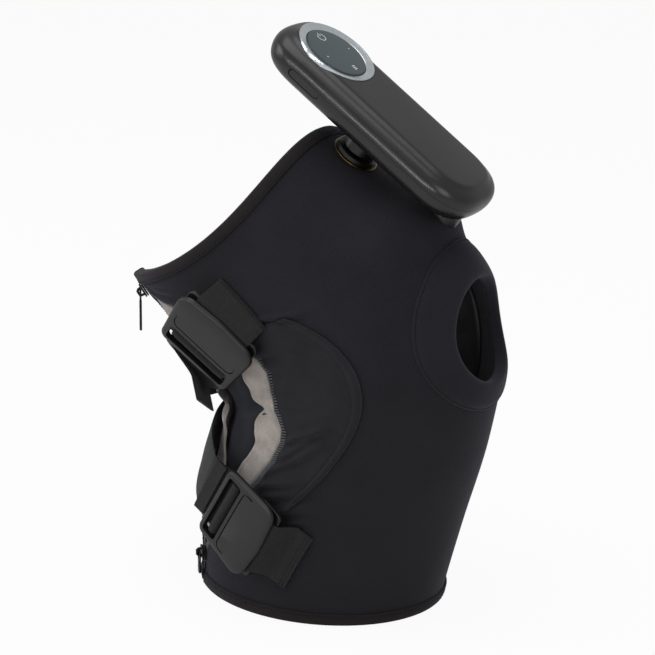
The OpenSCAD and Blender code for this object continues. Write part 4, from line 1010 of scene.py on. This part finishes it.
def prism(ring, z0, z1):
    """An outline in x and y carried from z0 to z1."""
    n = len(ring)
    points = [(x, y, z) for z in (z0, z1) for x, y in ring]
    faces = [[j, (j + 1) % n, n + (j + 1) % n, n + j] for j in range(n)]
    return np.array(points), faces + [list(range(n))[::-1], list(range(n, 2 * n))]


def clip(name):
    """A clip with its window, bar and hook, and the receiver that it hooks on."""
    f = CLIP_FRAME[name]
    levels = [(1.0, 0.0), (0.35, 0.12), (0.0, 0.6), (0.0, 1.7), (0.12, 2.3), (0.5, 2.8), (1.1, 3.15), (2.0, 3.4),
              (3.6, 3.65), (6.0, 3.9), (9.0, 4.05), (13.0, 4.12)]
    rings = [clip_outline(*level) for level in levels]
    faces = solid_faces(len(rings), len(rings[0]))
    shell = make(name + "_clip_shell", place(f, np.concatenate(rings)), faces, "clip", body=name + "_buckle",
                 nodes=(name + "_clip",), slot="clip_plastic", sharp=35)
    window = rounded(WINDOW_X[0], WINDOW_X[1], -WINDOW_L / 2, WINDOW_L / 2, 2.0)
    cuts = [prism(window, -5, 8), prism(slit_line(0.0)[::-1] + slit_line(0.75), 2.9, 8)]
    cut_from(shell, [cutter(place(f, points), faces) for points, faces in cuts])
    soften(shell, 0.3, angle=50)
    hook = rounded(HOOK_X - 1.2, HOOK_X + 1.2, -HOOK_L / 2, HOOK_L / 2, 0.8)
    parts = [plate([hook], RECEIVER_Z[0] + 0.6, 1.0, 0.3)]
    bar, bar_faces = rod(WINDOW_L + 2, BAR_R)
    parts.append((bar + [BAR_X, 0, BAR_Z], bar_faces))
    for side in (-1, 1):
        y = side * (WINDOW_L / 2 + 0.9)
        cheek = rounded(BAR_X - BAR_R, BAR_X + BAR_R, y - 0.9, y + 0.9, 0.5)
        parts.append(plate([cheek], BAR_Z - BAR_R, 1.0, 0.25))
    points, faces = together(parts)
    make(name + "_clip_bar", place(f, points), faces, "clip", body=name + "_buckle", slot="clip_plastic", sharp=35)
    slot = (RECEIVER_X[1] - 5.0, RECEIVER_X[1] - 2.4)
    half = RECEIVER_L / 2
    body = plate([rounded(RECEIVER_X[0], RECEIVER_X[1], -half, half, 3.2),
                  rounded(HOOK_X - 3.1, HOOK_X + 1.6, -HOOK_L / 2 - 0.4, HOOK_L / 2 + 0.4, 1.2)[::-1],
                  rounded(slot[0], slot[1], -WEB_W / 2 - 0.4, WEB_W / 2 + 0.4, 1.0)[::-1]],
                 RECEIVER_Z[0], RECEIVER_Z[1], 0.5)
    make(name + "_receiver_loop", place(f, body[0]), body[1], "receiver", nodes=(name + "_receiver",),
         slot="clip_plastic", sharp=35)


clip("upper")
clip("lower")


# ---------------------------------------------------------------- webbing

def webbing(name, rows, body, node):
    """Webbing along a grid of points down its middle plane: rows go along it and columns across it."""
    rows = np.asarray(rows, float)
    normal = unit(np.cross(np.gradient(rows, axis=0), np.gradient(rows, axis=1)))
    n = rows.shape[1]
    from_edge = np.minimum(np.arange(n), n - 1 - np.arange(n))
    half = WEB_T / 2 * np.clip(0.45 + 0.4 * from_edge, 0, 1)[None, :, None]
    far = distances(rows[:, n // 2])
    width = np.linalg.norm(rows[0, -1] - rows[0, 0])
    cut = np.stack([np.linspace(0, width, n)[None, :] * np.ones((len(rows), 1)),
                    far[:, None] * np.ones((1, n))], axis=-1)
    piece = closed_sheet(name, rows + normal * half, rows - normal * half, "webbing", cut, body=body,
                         nodes=(node,), slot="webbing", sharp=60)
    return piece


TURN_IN, TURN_OUT = BAR_R + 0.3, BAR_R + 0.3 + WEB_T
BEND_X, BEND_Z = -CLIP_W / 2 - 1, BAR_Z - (BAR_R + 0.3 + WEB_T) + WEB_T / 2
WEB_COLUMNS = 16
ACROSS = WEB_W * (np.arange(WEB_COLUMNS + 1) / WEB_COLUMNS - 0.5)


def frame_row(f, x, z):
    """A row of the webbing across a clip's frame."""
    return place(f, np.stack([np.full(ACROSS.shape, x), ACROSS, np.full(ACROSS.shape, z)], axis=-1))


def step(k, a, v):
    """The change of share and angle that a step v along the fabric makes."""
    u, w = along(k, a), around(k, a)
    uu, uw, ww, vu, vw = u @ u, u @ w, w @ w, v @ u, v @ w
    return np.array([vu * ww - vw * uw, vw * uu - vu * uw]) / (uu * ww - uw ** 2)


def walk(k, a, slope, end_slope, d, n):
    """Stops along a line over the fabric, as (share, angle, slope)."""
    stops = []
    for left in range(n, -1, -1):
        stops.append((k, a, slope))
        if left:
            m = step(np.float64(k), np.float64(a), d * skin_frame(k, a, 0, slope)[0])
            k, a, slope = k + m[0], a + m[1], slope + (end_slope - slope) / left
    return stops


def web_row(stop, r):
    """A row of the webbing across the sleeve."""
    k, a, slope = stop
    m = step(np.float64(k), np.float64(a), skin_frame(k, a, 0, slope)[1])
    return skin(k + ACROSS * m[0], a + ACROSS * m[1], r)


RUN_STEP, RUN_FIRST, RUN_N = 6.5, 5, 16
# the side that the photograph is taken from, its right and its up
TOWARDS, RIGHT, UP = np.array([[-0.819, -0.473, 0.326], [0.5, -0.866, 0.0], [0.282, 0.163, 0.946]])
RUN_X = BEND_X - WEB_T / 2 - 0.05
RUN_SHARES = (0, 0.12, 0.25, 0.45, 0.62, 0.75, 1)
# heights over the run; the loose end hangs by so much to the right and up, or lies by so much on the sleeve
STRAPS = {
    "upper": dict(slope=0.0, heights=(9.3, 7.6, 6, 3, 0.9, 0.15, 0.15), hang=(5.5, -26.0), last=11),
    "lower": dict(slope=LOWER_SLOPE, heights=(8.3, 6.8, 5, 2.6, 0.9, 0.15, 0.15), hang=None, last=14),
}
HANG_TURN = 74.0
LIE_LONG, LIE_DOWN, LIE_LIFT = 8, 1, 0.5
ANCHOR_STEP, ANCHOR_FIRST, ANCHOR_RISE = 2.8, 10, 1.1


def strap(name):
    """The run on the sleeve, the turn round the clip's bar and the loose end."""
    f, s = CLIP_FRAME[name], STRAPS[name]
    line = walk(*CLIP_AT[name], s["slope"], 0.0, -RUN_STEP, RUN_FIRST + RUN_N)[RUN_FIRST:]
    rows = [frame_row(f, RUN_X, BEND_Z)]
    rows += [web_row(stop, np.interp(i / RUN_N, RUN_SHARES, s["heights"]) + WEB_T / 2) for i, stop in enumerate(line)]
    webbing(name + "_strap_run", through(rows, 6), SLEEVE, name + "_strap")
    # round the bar, and out again over the run
    back = 0.3
    x1 = BAR_X - TURN_OUT - back
    bend = lambda x, r, first, last, n: [(x + r * math.sin(t), BAR_Z - r * math.cos(t))
                                         for t in np.radians(np.linspace(first, last, n))]
    middle, tight = (TURN_IN + TURN_OUT) / 2, back + WEB_T / 2
    path = [(BEND_X - 0.2, BEND_Z), ((BEND_X + BAR_X) / 2, BEND_Z), *bend(BAR_X, middle, 0, 180, 17),
            *bend(BAR_X, middle, 190, 262, 8), *bend(x1, tight, 60, 0, 7), (BEND_X + 0.4, BAR_Z - back - WEB_T / 2)]
    rows = [frame_row(f, x, z) for x, z in path]
    webbing(name + "_strap_loop", through(rows, 2), name + "_buckle", name + "_strap_turn")
    # the loose end
    near = frame_row(f, RUN_X, BEND_Z + WEB_T / 2)
    far = web_row(line[0], s["heights"][0] + WEB_T)
    half = WEB_COLUMNS // 2
    far_x = (far[half] - f[3]) @ f[0]
    root = near + (far - near) * (BEND_X - 3.4 - RUN_X) / (far_x - RUN_X)
    slope = (((far - near) @ f[2]) / ((near - far) @ f[0])).max()
    off = (root - root[half]) @ f[1]
    # where it hangs, the upper edge stays and the lower one goes back
    depth = WEB_W / 2 - math.copysign(1, f[1] @ UP) * off
    rows = []
    for t in np.linspace(0, 1, 30):
        if s["hang"]:
            centre = root[half] + t * (s["hang"][0] * RIGHT + s["hang"][1] * UP)
            turn = math.radians(HANG_TURN) * smooth(t / 0.5)
            rows.append(centre + off[:, None] * math.cos(turn) * f[1] - depth[:, None] * math.sin(turn) * TOWARDS)
        else:
            rise = back + WEB_T / 2 + slope * LIE_LONG * t + LIE_LIFT * t * t
            rows.append(root - LIE_LONG * t * f[0] - LIE_DOWN * t * f[1] + rise * f[2])
    webbing(name + "_strap_end", rows, SLEEVE, name + "_strap_tail")


def anchor(name):
    """Webbing sewn to the sleeve and folded round the receiver's outer bar."""
    f, s = CLIP_FRAME[name], STRAPS[name]
    line = walk(*CLIP_AT[name], s["slope"], s["slope"], ANCHOR_STEP, s["last"])
    zc = (RECEIVER_Z[0] + RECEIVER_Z[1]) / 2
    xc = RECEIVER_X[1] - 1.2
    # over the bar and back under it, then down to the sleeve
    over = [(-2.2, -0.2), (-2.0, 1.2), (-1.0, 1.95), (0.8, 1.95), (2.1, 1.0), (2.9, -0.6)]
    rows = [frame_row(f, xc + x, zc + z) for x, z in over]
    rows += [web_row(stop, ANCHOR_RISE + WEB_T / 2) for stop in line[ANCHOR_FIRST:]]
    top = through(rows, 4)
    webbing(name + "_anchor_webbing", top, SLEEVE, name + "_anchor_web")
    seams = [top[-3], top[-6]]
    lines = [(row + f[2] * (WEB_T / 2 + 0.05), np.zeros_like(row) + f[2]) for row in seams]
    stitches(name + "_anchor_stitching", lines, pitch=2.3, long=1.6, thick=0.3, slot="webbing")


for which in ("upper", "lower"):
    strap(which)
    anchor(which)


# ---------------------------------------------------------------- zip sliders and pulls

def zip_middle(k):
    return (right_edge(k) + left_edge(k)) / 2


PULL_LIFT, EYE_R, SLIDER_H, SLIDER_RISE = 2.1, 0.9, 2.2, 0.15


def slider(name, k, way, long):
    """A slider on the zip, and the pull that hangs from its eye."""
    a = float(zip_middle(k))
    f = skin_frame(k, a, SLIDER_RISE)
    body = [(-3.5, 3.6), (-1.2, 3.8), (0, 3.3), (1.2, 3.8), (3.5, 3.6), (3.3, 0.8), (2.5, -3.4), (1.6, -3.8),
            (-1.6, -3.8), (-2.5, -3.4), (-3.3, 0.8)]
    body = [(x, y * way) for x, y in body]
    if way < 0:
        body = body[::-1]
    eye_z = SLIDER_H + PULL_LIFT - EYE_R
    bridge = [(-2.6, 0.0), (-2.4, 1.9), (-1.4, 3.1), (1.4, 3.1), (2.4, 1.9), (2.6, 0.0), (1.8, 0.0), (1.6, 1.3),
              (0.9, 2.2), (-0.9, 2.2), (-1.6, 1.3), (-1.8, 0.0)]
    arch, arch_faces = plate([bridge[::-1]], -0.9, 0.9, 0.25)
    arch = arch[:, [2, 0, 1]] + [0, 0, SLIDER_H - 0.2]
    low, high = plate([body[::-1]], 0, SLIDER_H * 0.42, 0.3), plate([body[::-1]], SLIDER_H * 0.55, SLIDER_H, 0.35)
    points, faces = together([low, high, (arch, arch_faces)])
    make(name + "_slider_body", place(f, points), faces, "zip_metal", nodes=(name + "_zip_slider",),
         slot="zip_metal", sharp=35)
    eye = skin_frame(k, a, SLIDER_RISE + eye_z)
    tip = math.atan2(-eye[2][2], -eye[1][2])
    turn = np.array([[1, 0, 0], [0, math.cos(tip), math.sin(tip)], [0, -math.sin(tip), math.cos(tip)]])
    ring = rounded(-2.6, 2.6, -1.3, 5.6, 1.9)
    hole = rounded(-1.7, 1.7, -0.4, 4.7, 1.2)[::-1]
    blade = [(-1.1, 4.9), (-1.5, 7), (-1.2, long * 0.6), (-1.9, long - 3.5), (-1.7, long - 0.8), (-0.8, long),
             (0.8, long), (1.7, long - 0.8), (1.9, long - 3.5), (1.2, long * 0.6), (1.5, 7), (1.1, 4.9)]
    points, faces = together([plate([ring, hole], -0.5, 0.5, 0.3), plate([blade], -0.7, 0.7, 0.4)])
    make(name + "_pull_tab", place(eye, points @ turn), faces, "zip_metal", body=name + "_pull",
         nodes=(name + "_zip_pull",), slot="zip_metal", sharp=35)


slider("upper", 0.926, 1, 22)
slider("lower", 0.067, -1, 13)


# ---------------------------------------------------------------- heating and cooling, between the layers

LEAD_TOP = 0.925  # where the leads reach the upper snap


def lead(side, off):
    """An edge of the leads on one side, off millimetres or so from their bend."""
    return lambda k: side * (46 * ((LEAD_TOP - np.clip(k, 0, LEAD_TOP)) / 0.245) ** 1.5 + off)


def inner_parts():
    level = lambda angle: (lambda k: angle + 0 * k)
    deep = -2.45, -2.8
    for side, node, lo, hi in (("near", "right", 42, 82), ("far", "left", 278, 318)):
        patch(side + "_heater", 0.36, 0.68, level(lo), level(hi), 40, 24, *deep, "film", slot="heater_film",
              nodes=(node + "_heater_film",))
    patch("heat_cutout", 0.3, 0.35, level(50), level(56), 8, 6, *deep, "cutout", slot="cutout",
          nodes=("thermal_cutout",))
    for name, lo, hi, nodes in (("heater_leads", lead(-1, 10.8), lead(-1, 3.2), ("heater_ribbon",)),
                                ("heater_leads_far", lead(1, 3.2), lead(1, 10.8), ())):
        patch(name, 0.684, LEAD_TOP, lo, hi, 40, 6, *deep, "ribbon", slot="ribbon", nodes=nodes)
    seat = LINING_IN - 0.5
    for side, node, lo, hi in (("near", "right", 46, 82), ("far", "left", 278, 314)):
        k, t = grid(0.34, 0.66, 60, 44)
        a, s = lo + (hi - lo) * t + 0 * k, (k - 0.34) / 0.32
        crown = 5 * np.sqrt(np.clip(np.sin(np.pi * s) * np.sin(np.pi * t), 0, 1))
        quilt = 0.35 * np.abs(np.sin(s * 4 * math.pi)) * np.abs(np.sin(t * 3 * math.pi))
        piece = closed_sheet(side + "_gel_pack", cloth(k, a, seat), cloth(k, a, seat - 0.8 - crown - quilt), "gel",
                             on_flat(k, a), slot="gel_film", nodes=(node + "_gel_pad",))


inner_parts()


# ---------------------------------------------------------------- the pod

SNAP_K = (0.755, 0.925)
POD_TILT, POD_RISE, SNAP_AHEAD = math.radians(35.3), 29.3, 1.1
POD_AT = skin(SNAP_K[1], 0.0)
TILT = np.array([[1, 0, 0], [0, math.cos(POD_TILT), -math.sin(POD_TILT)],
                 [0, math.sin(POD_TILT), math.cos(POD_TILT)]])
HALF_W, STRAIGHT = 30.0, 44.5
DISC_Y, DISC_R, DISC_T, DISC_TOP = 43.3, 18.6, 1.4, 10.95
BEZEL_R, BEZEL_OUT, BEZEL_FLOOR, BEZEL_TOP = 18.9, 23.8, 8.95, 11.65
COVER = dict(l=22.0, h=4.4, t=1.2, y=39.0, z=-2.2, x=-29.25)
LOWER_LEVELS = [[8.5, -10.75], [5.4, -10], [2.6, -7.95], [0.9, -4.95], [0.1, -1.6], [0, 0.5]]
UPPER_LEVELS = [[0, 0.65], [0.25, 2.8], [1.2, 5.15], [2.8, 7.1], [4.6, 8.25], [6.2, 9.05], [7.9, 10.1], [9, 10.55],
                [11, 10.75]]


def pod_points(points):
    """Points in the pod's own frame as points of the row's frame."""
    return (np.asarray(points, float) + [0, -SNAP_AHEAD, POD_RISE]) @ TILT.T + POD_AT


def outline(inset, z, n=192):
    t = 2 * math.pi * (np.arange(n) + 0.5) / n
    w = HALF_W - inset
    power = 2 / 2.7
    x = w * np.sign(np.cos(t)) * np.abs(np.cos(t)) ** power
    y = w * np.sign(np.sin(t)) * np.abs(np.sin(t)) ** power + STRAIGHT * np.sign(np.sin(t))
    return np.stack([x, y, np.full(n, z)], axis=-1)


def loft(levels):
    """A closed solid through outlines at (inset, z)."""
    rings = [outline(i, z) for i, z in levels]
    return np.concatenate(rings), solid_faces(len(rings), len(rings[0]))


def drum(radius, z0, z1, y, n=128):
    points, faces, _ = lathe([(0.01, z0), (radius, z0), (radius, z1), (0.01, z1)], n, close=False)
    return points + [0, y, 0], faces


def pod_cutter(points, faces):
    return cutter(pod_points(points), faces)


def pill(grow, x0, x1):
    """The cover's pill shape, from x0 to x1."""
    r = COVER["h"] / 2 + grow
    half = (COVER["l"] - COVER["h"]) / 2
    ring = [(COVER["y"] + way * half + r * math.cos(t), COVER["z"] + r * math.sin(t))
            for way, first in ((1, -0.5), (-1, 0.5)) for t in np.linspace(first * math.pi, (first + 1) * math.pi, 17)]
    points, faces = prism(ring, x0, x1)
    return points[:, [2, 0, 1]], faces


def pod():
    lower, lower_faces = loft(through(LOWER_LEVELS, 4))
    case = make("pod_base_shell", pod_points(lower), lower_faces, "case", body="pod", nodes=("pod_lower_case",),
                slot="case_plastic", sharp=28)
    hollow = [[6.6, -7.8], [4.2, -5.0], [4.0, 3.0]]
    inlet = np.array([[x, COVER["y"] + y, COVER["z"] + z]
                      for x in (-31, -17) for y in (-4.6, 4.6) for z in (-1.7, 1.7)])
    cuts = [pod_cutter(*loft(hollow)), pod_cutter(*pill(0.3, -HALF_W - 3, COVER["x"] + COVER["t"] + 0.1)),
            pod_cutter(inlet, [[0, 1, 3, 2], [4, 6, 7, 5], [0, 4, 5, 1], [2, 3, 7, 6], [0, 2, 6, 4], [1, 5, 7, 3]])]
    for x, y in ((17, -62), (-17, -62), (17, 14), (-17, 14)):
        points, faces, _ = lathe([(0.01, -12), (2.2, -12), (2.2, -8.95), (1.1, -8.95), (1.1, 2), (0.01, 2)], 32,
                                 close=False)
        cuts.append(pod_cutter(points + [x, y, 0], faces))
    cut_from(case, cuts)
    upper, upper_faces = loft(through(UPPER_LEVELS, 4))
    lid = make("pod_top_shell", pod_points(upper), upper_faces, "case", body="pod", nodes=("pod_upper_case",),
               slot="case_plastic", sharp=28)
    cut_from(lid, [pod_cutter(*loft([[4.0, -1.0], [4.2, 4.4], [9.0, 4.5], [9.2, 6.6]])),
                   pod_cutter(*drum(BEZEL_OUT + 0.15, BEZEL_FLOOR, 14, DISC_Y)),
                   pod_cutter(*drum(DISC_R + 1.2, 0, 14, DISC_Y))])
    lip = BEZEL_TOP
    ring, ring_faces, ring_cut = lathe(
        [(BEZEL_R, BEZEL_FLOOR + 0.05), (BEZEL_OUT - 0.2, BEZEL_FLOOR + 0.05), (BEZEL_OUT, BEZEL_FLOOR + 0.3),
         (BEZEL_OUT, lip - 0.5), (BEZEL_OUT - 0.14, lip - 0.15), (BEZEL_OUT - 0.5, lip), (BEZEL_OUT - 1.0, lip),
         (BEZEL_OUT - 1.25, lip - 0.12), (BEZEL_OUT - 2.2, lip - 0.5), (BEZEL_R + 0.5, 10.6), (BEZEL_R + 0.15, 10.4),
         (BEZEL_R, 10.2)], 192)
    make("bezel", pod_points(ring + [0, DISC_Y, 0]), ring_faces, "bezel", body="pod", cut=ring_cut,
         nodes=("bezel_ring",), slot="bezel_metal", sharp=30)
    disc()
    points, faces = pill(0, COVER["x"], COVER["x"] + COVER["t"])
    cover = make("inlet_cover", pod_points(points), faces, "rubber", body="cover", nodes=("port_cover",),
                 slot="soft_rubber", sharp=40)
    soften(cover, 0.35)


def disc():
    """The glossy control: a slightly domed disc with its nubs, and generic marks inlaid in its face."""
    top, under = DISC_TOP, DISC_TOP - DISC_T
    face, face_faces, _ = lathe([(0.01, under), (DISC_R - 0.3, under), (DISC_R, under + 0.3), (DISC_R, top - 0.45),
                                 (DISC_R - 0.12, top - 0.2), (DISC_R - 0.45, top - 0.04), (DISC_R - 1.2, top),
                                 (0.01, top)], 192, close=False)
    parts = [(face, face_faces)]
    for i in range(4):
        t = math.radians(90 * i)
        nub, nub_faces, _ = lathe([(0.01, 6.92), (1.3, 6.92), (1.6, 7.2), (1.6, under + 0.1), (0.01, under + 0.1)], 32,
                                  close=False)
        parts.append((nub + [12.5 * math.cos(t), 12.5 * math.sin(t), 0], nub_faces))
    points, faces = together(parts)
    make("control_face", pod_points(points + [0, DISC_Y, 0]), faces, "glass", body="disc", nodes=("control_disc",),
         slot="disc_gloss", sharp=30)
    z0, z1 = top - 0.02, top + 0.06
    marks = []

    def bar(x0, x1, y0, y1):
        marks.append(plate([rounded(min(x0, x1), max(x0, x1), min(y0, y1), max(y0, y1), 0.2, 3)], z0, z1, 0.02))

    def arc(cx, cy, r, w, a0, a1, n=32):
        outer = [(cx + r * math.cos(t), cy + r * math.sin(t)) for t in np.radians(np.linspace(a0, a1, n))]
        inner = [(cx + (r - w) * math.cos(t), cy + (r - w) * math.sin(t)) for t in np.radians(np.linspace(a1, a0, n))]
        marks.append(plate([outer + inner], z0, z1, 0.02))

    # the switch mark: a ring open at one side, and a stroke in the gap
    arc(0.6, 12.4, 2.9, 0.5, 90 + 35, 450 - 35)
    bar(0.35, 0.85, 13.2, 16.0)
    # two small dots at the sides, and a mode mark of three short bars
    arc(12.6, -0.4, 0.45, 0.44, 0, 359)
    arc(-11.6, -1.2, 0.45, 0.44, 0, 359)
    for i in range(3):
        bar(-0.6, 1.8, -12.4 - i * 1.2, -11.7 - i * 1.2)
    points, faces = together(marks)
    make("control_marks", pod_points(points + [0, DISC_Y, 0]), faces, "mark", body="disc", slot="disc_gloss", sharp=30)


pod()


# ---------------------------------------------------------------- snaps

def to_pod(points):
    d = np.asarray(points) - POD_AT
    return d @ TILT - [0, -SNAP_AHEAD, POD_RISE]


def snaps():
    sockets, rims, studs = [], [], []
    for k in SNAP_K:
        d = 13.5 * shares_of(1.0, k, 0.0)
        base = max(to_pod(skin(k + s * d, 0.0))[2] for s in (-1, 0, 1)) + 0.2
        y = to_pod(skin(k, 0.0))[1]
        top = base + 4.5
        socket = [(3.06, base + 1.5), (3.06, top - 0.3), (3.4, top), (4.4, top), (4.8, top - 0.5), (8.5, top - 0.7),
                  (10.6, top - 0.4), (11.6, top - 0.5), (12.25, top - 1.1), (12.3, base), (0.01, base),
                  (0.01, base + 1.5)]
        rim = [(12.35, base), (13.2, base), (13.5, base + 0.2), (13.5, base + 0.6), (13.3, base + 0.9),
               (12.9, base + 1.1), (12.5, base + 1.2), (12.35, base + 1.0)]
        stud = [(0.01, top - 2.6), (2.6, top - 2.6), (3.0, top - 2.2), (3.0, top - 0.4), (2.75, top),
                (3.0, top + 0.35), (9.4, top + 0.35), (10.0, top + 0.8), (10.0, -11.05), (9.8, -10.77), (0.01, -10.77)]
        for parts, profile, close in ((sockets, socket, True), (rims, rim, True), (studs, stud, False)):
            points, faces, _ = lathe(profile, 96, close)
            parts.append((points + [0, y, 0], faces))
    for name, parts, material, slot, body, node in (
            ("snap_socket_caps", sockets, "snap", "snap_plastic", SLEEVE, "snap_sockets"),
            ("snap_rim_rings", rims, "brass", "snap_brass", SLEEVE, "snap_rims"),
            ("snap_stud_posts", studs, "snap", "snap_plastic", "pod", "snap_studs")):
        points, faces = together(parts)
        make(name, pod_points(points), faces, material, body=body, nodes=(node,), slot=slot, sharp=30)


snaps()


# ---------------------------------------------------------------- the CAD's own parts that stay

CARRIED = {
    "pivot_dome": "rubber", "main_board": "board", "tact_switches": "steel", "status_leds": "led",
    "battery_cell": "cell", "battery_cradle": "cradle", "usb_port": "steel", "case_screws": "steel",
    "snap_washers": "steel",
}
for node, material in CARRIED.items():
    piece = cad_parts[node]
    piece.data.materials.clear()
    piece.data.materials.append(MATERIALS[material])


# ---------------------------------------------------------------- studio

FLOOR_HALF, FLOOR_GLOW = 3.0, 0.93  # metres, and the share of its own white that the camera sees
MIRRORED_WORLD = 0.5  # the background's strength in reflections


def studio():
    """A pale floor and soft light. The camera sees the background white, and reflections see it dimmer."""
    scene = bpy.context.scene
    scene.view_settings.view_transform = "Standard"
    n = Nodes("studio", bpy.data.worlds)
    scene.world = n.owner
    n.tree.nodes.clear()
    rays = n.add("ShaderNodeLightPath").outputs
    mirrored = n.math("MAXIMUM", rays["Is Glossy Ray"], rays["Is Transmission Ray"])
    ambient = n.add("ShaderNodeBackground", Color=(0.96, 0.97, 1, 1), Strength=0.42)
    white = n.add("ShaderNodeBackground", Color=(1, 1, 1, 1),
                  Strength=n.math("MAXIMUM", rays["Is Camera Ray"], MIRRORED_WORLD))
    shown = n.join(n.math("MAXIMUM", rays["Is Camera Ray"], mirrored), ambient.outputs[0], white.outputs[0])
    n.add("ShaderNodeOutputWorld", Surface=shown)

    mesh = bpy.data.meshes.new("floor")
    corners = [(x * FLOOR_HALF, y * FLOOR_HALF, 0) for x, y in ((-1, -1), (1, -1), (1, 1), (-1, 1))]
    mesh.from_pydata(corners, [], [(0, 1, 2, 3)])
    floor = put("floor", mesh)
    floor.location.z = -0.0002
    n = Nodes("floor_paint")
    n.set(Base_Color=(0.9, 0.9, 0.9, 1), Roughness=0.9)
    share = n.times(n.add("ShaderNodeLightPath").outputs["Is Camera Ray"], FLOOR_GLOW)
    glow = n.add("ShaderNodeEmission", Strength=1.0).outputs[0]
    n.link(n.tree.nodes["Material Output"], "Surface", n.join(share, n.shader.outputs[0], glow))
    mesh.materials.append(n.owner)

    def lamp(name, place, aim, size, power, narrow=None):
        data = bpy.data.lights.new(name, "AREA")
        data.shape = "RECTANGLE" if narrow else "SQUARE"
        data.size = size
        data.size_y = narrow or size
        data.energy = power
        light = put(name, data)
        light.location = place
        light.rotation_mode = "QUATERNION"
        light.rotation_quaternion = (Vector(aim) - Vector(place)).to_track_quat("-Z", "Y")
        return light

    middle = (0, 0, 0.16)
    lamp("top", (-0.2, 0.1, 1.5), middle, 1.2, 8.5)
    lamp("front", (-1.1, -1.2, 0.9), middle, 0.8, 4.5)
    lamp("back", (-0.6, 1.3, 0.8), middle, 0.7, 4)
    strip = lamp("strip", (-1.3, 0.25, 0.48), middle, 1.3, 5, 0.14)
    strip.visible_diffuse = False


def camera():
    """The photograph's view, solved from the pod's outline and the sleeve's silhouette."""
    azimuth, elevation, distance = math.radians(-60), math.radians(19), 1.3
    target = Vector((0, 0, 0.118))
    target_at = (322.0, 393.0)  # where the target is in the image, of 655 x 655
    side, metres_per_pixel = 655.0, 0.00058
    data = bpy.data.cameras.new("photo")
    eye = put("photo", data)
    back = Vector((math.sin(azimuth) * math.cos(elevation), -math.cos(azimuth) * math.cos(elevation),
                   math.sin(elevation)))
    eye.location = target + back * distance
    eye.rotation_mode = "QUATERNION"
    eye.rotation_quaternion = back.to_track_quat("Z", "Y")
    data.sensor_width = 36.0
    data.lens = distance / metres_per_pixel / side * data.sensor_width
    data.shift_x = (side / 2 - target_at[0]) / side
    data.shift_y = (target_at[1] - side / 2) / side
    data.clip_end = 50
    bpy.context.scene.camera = eye


studio()
camera()
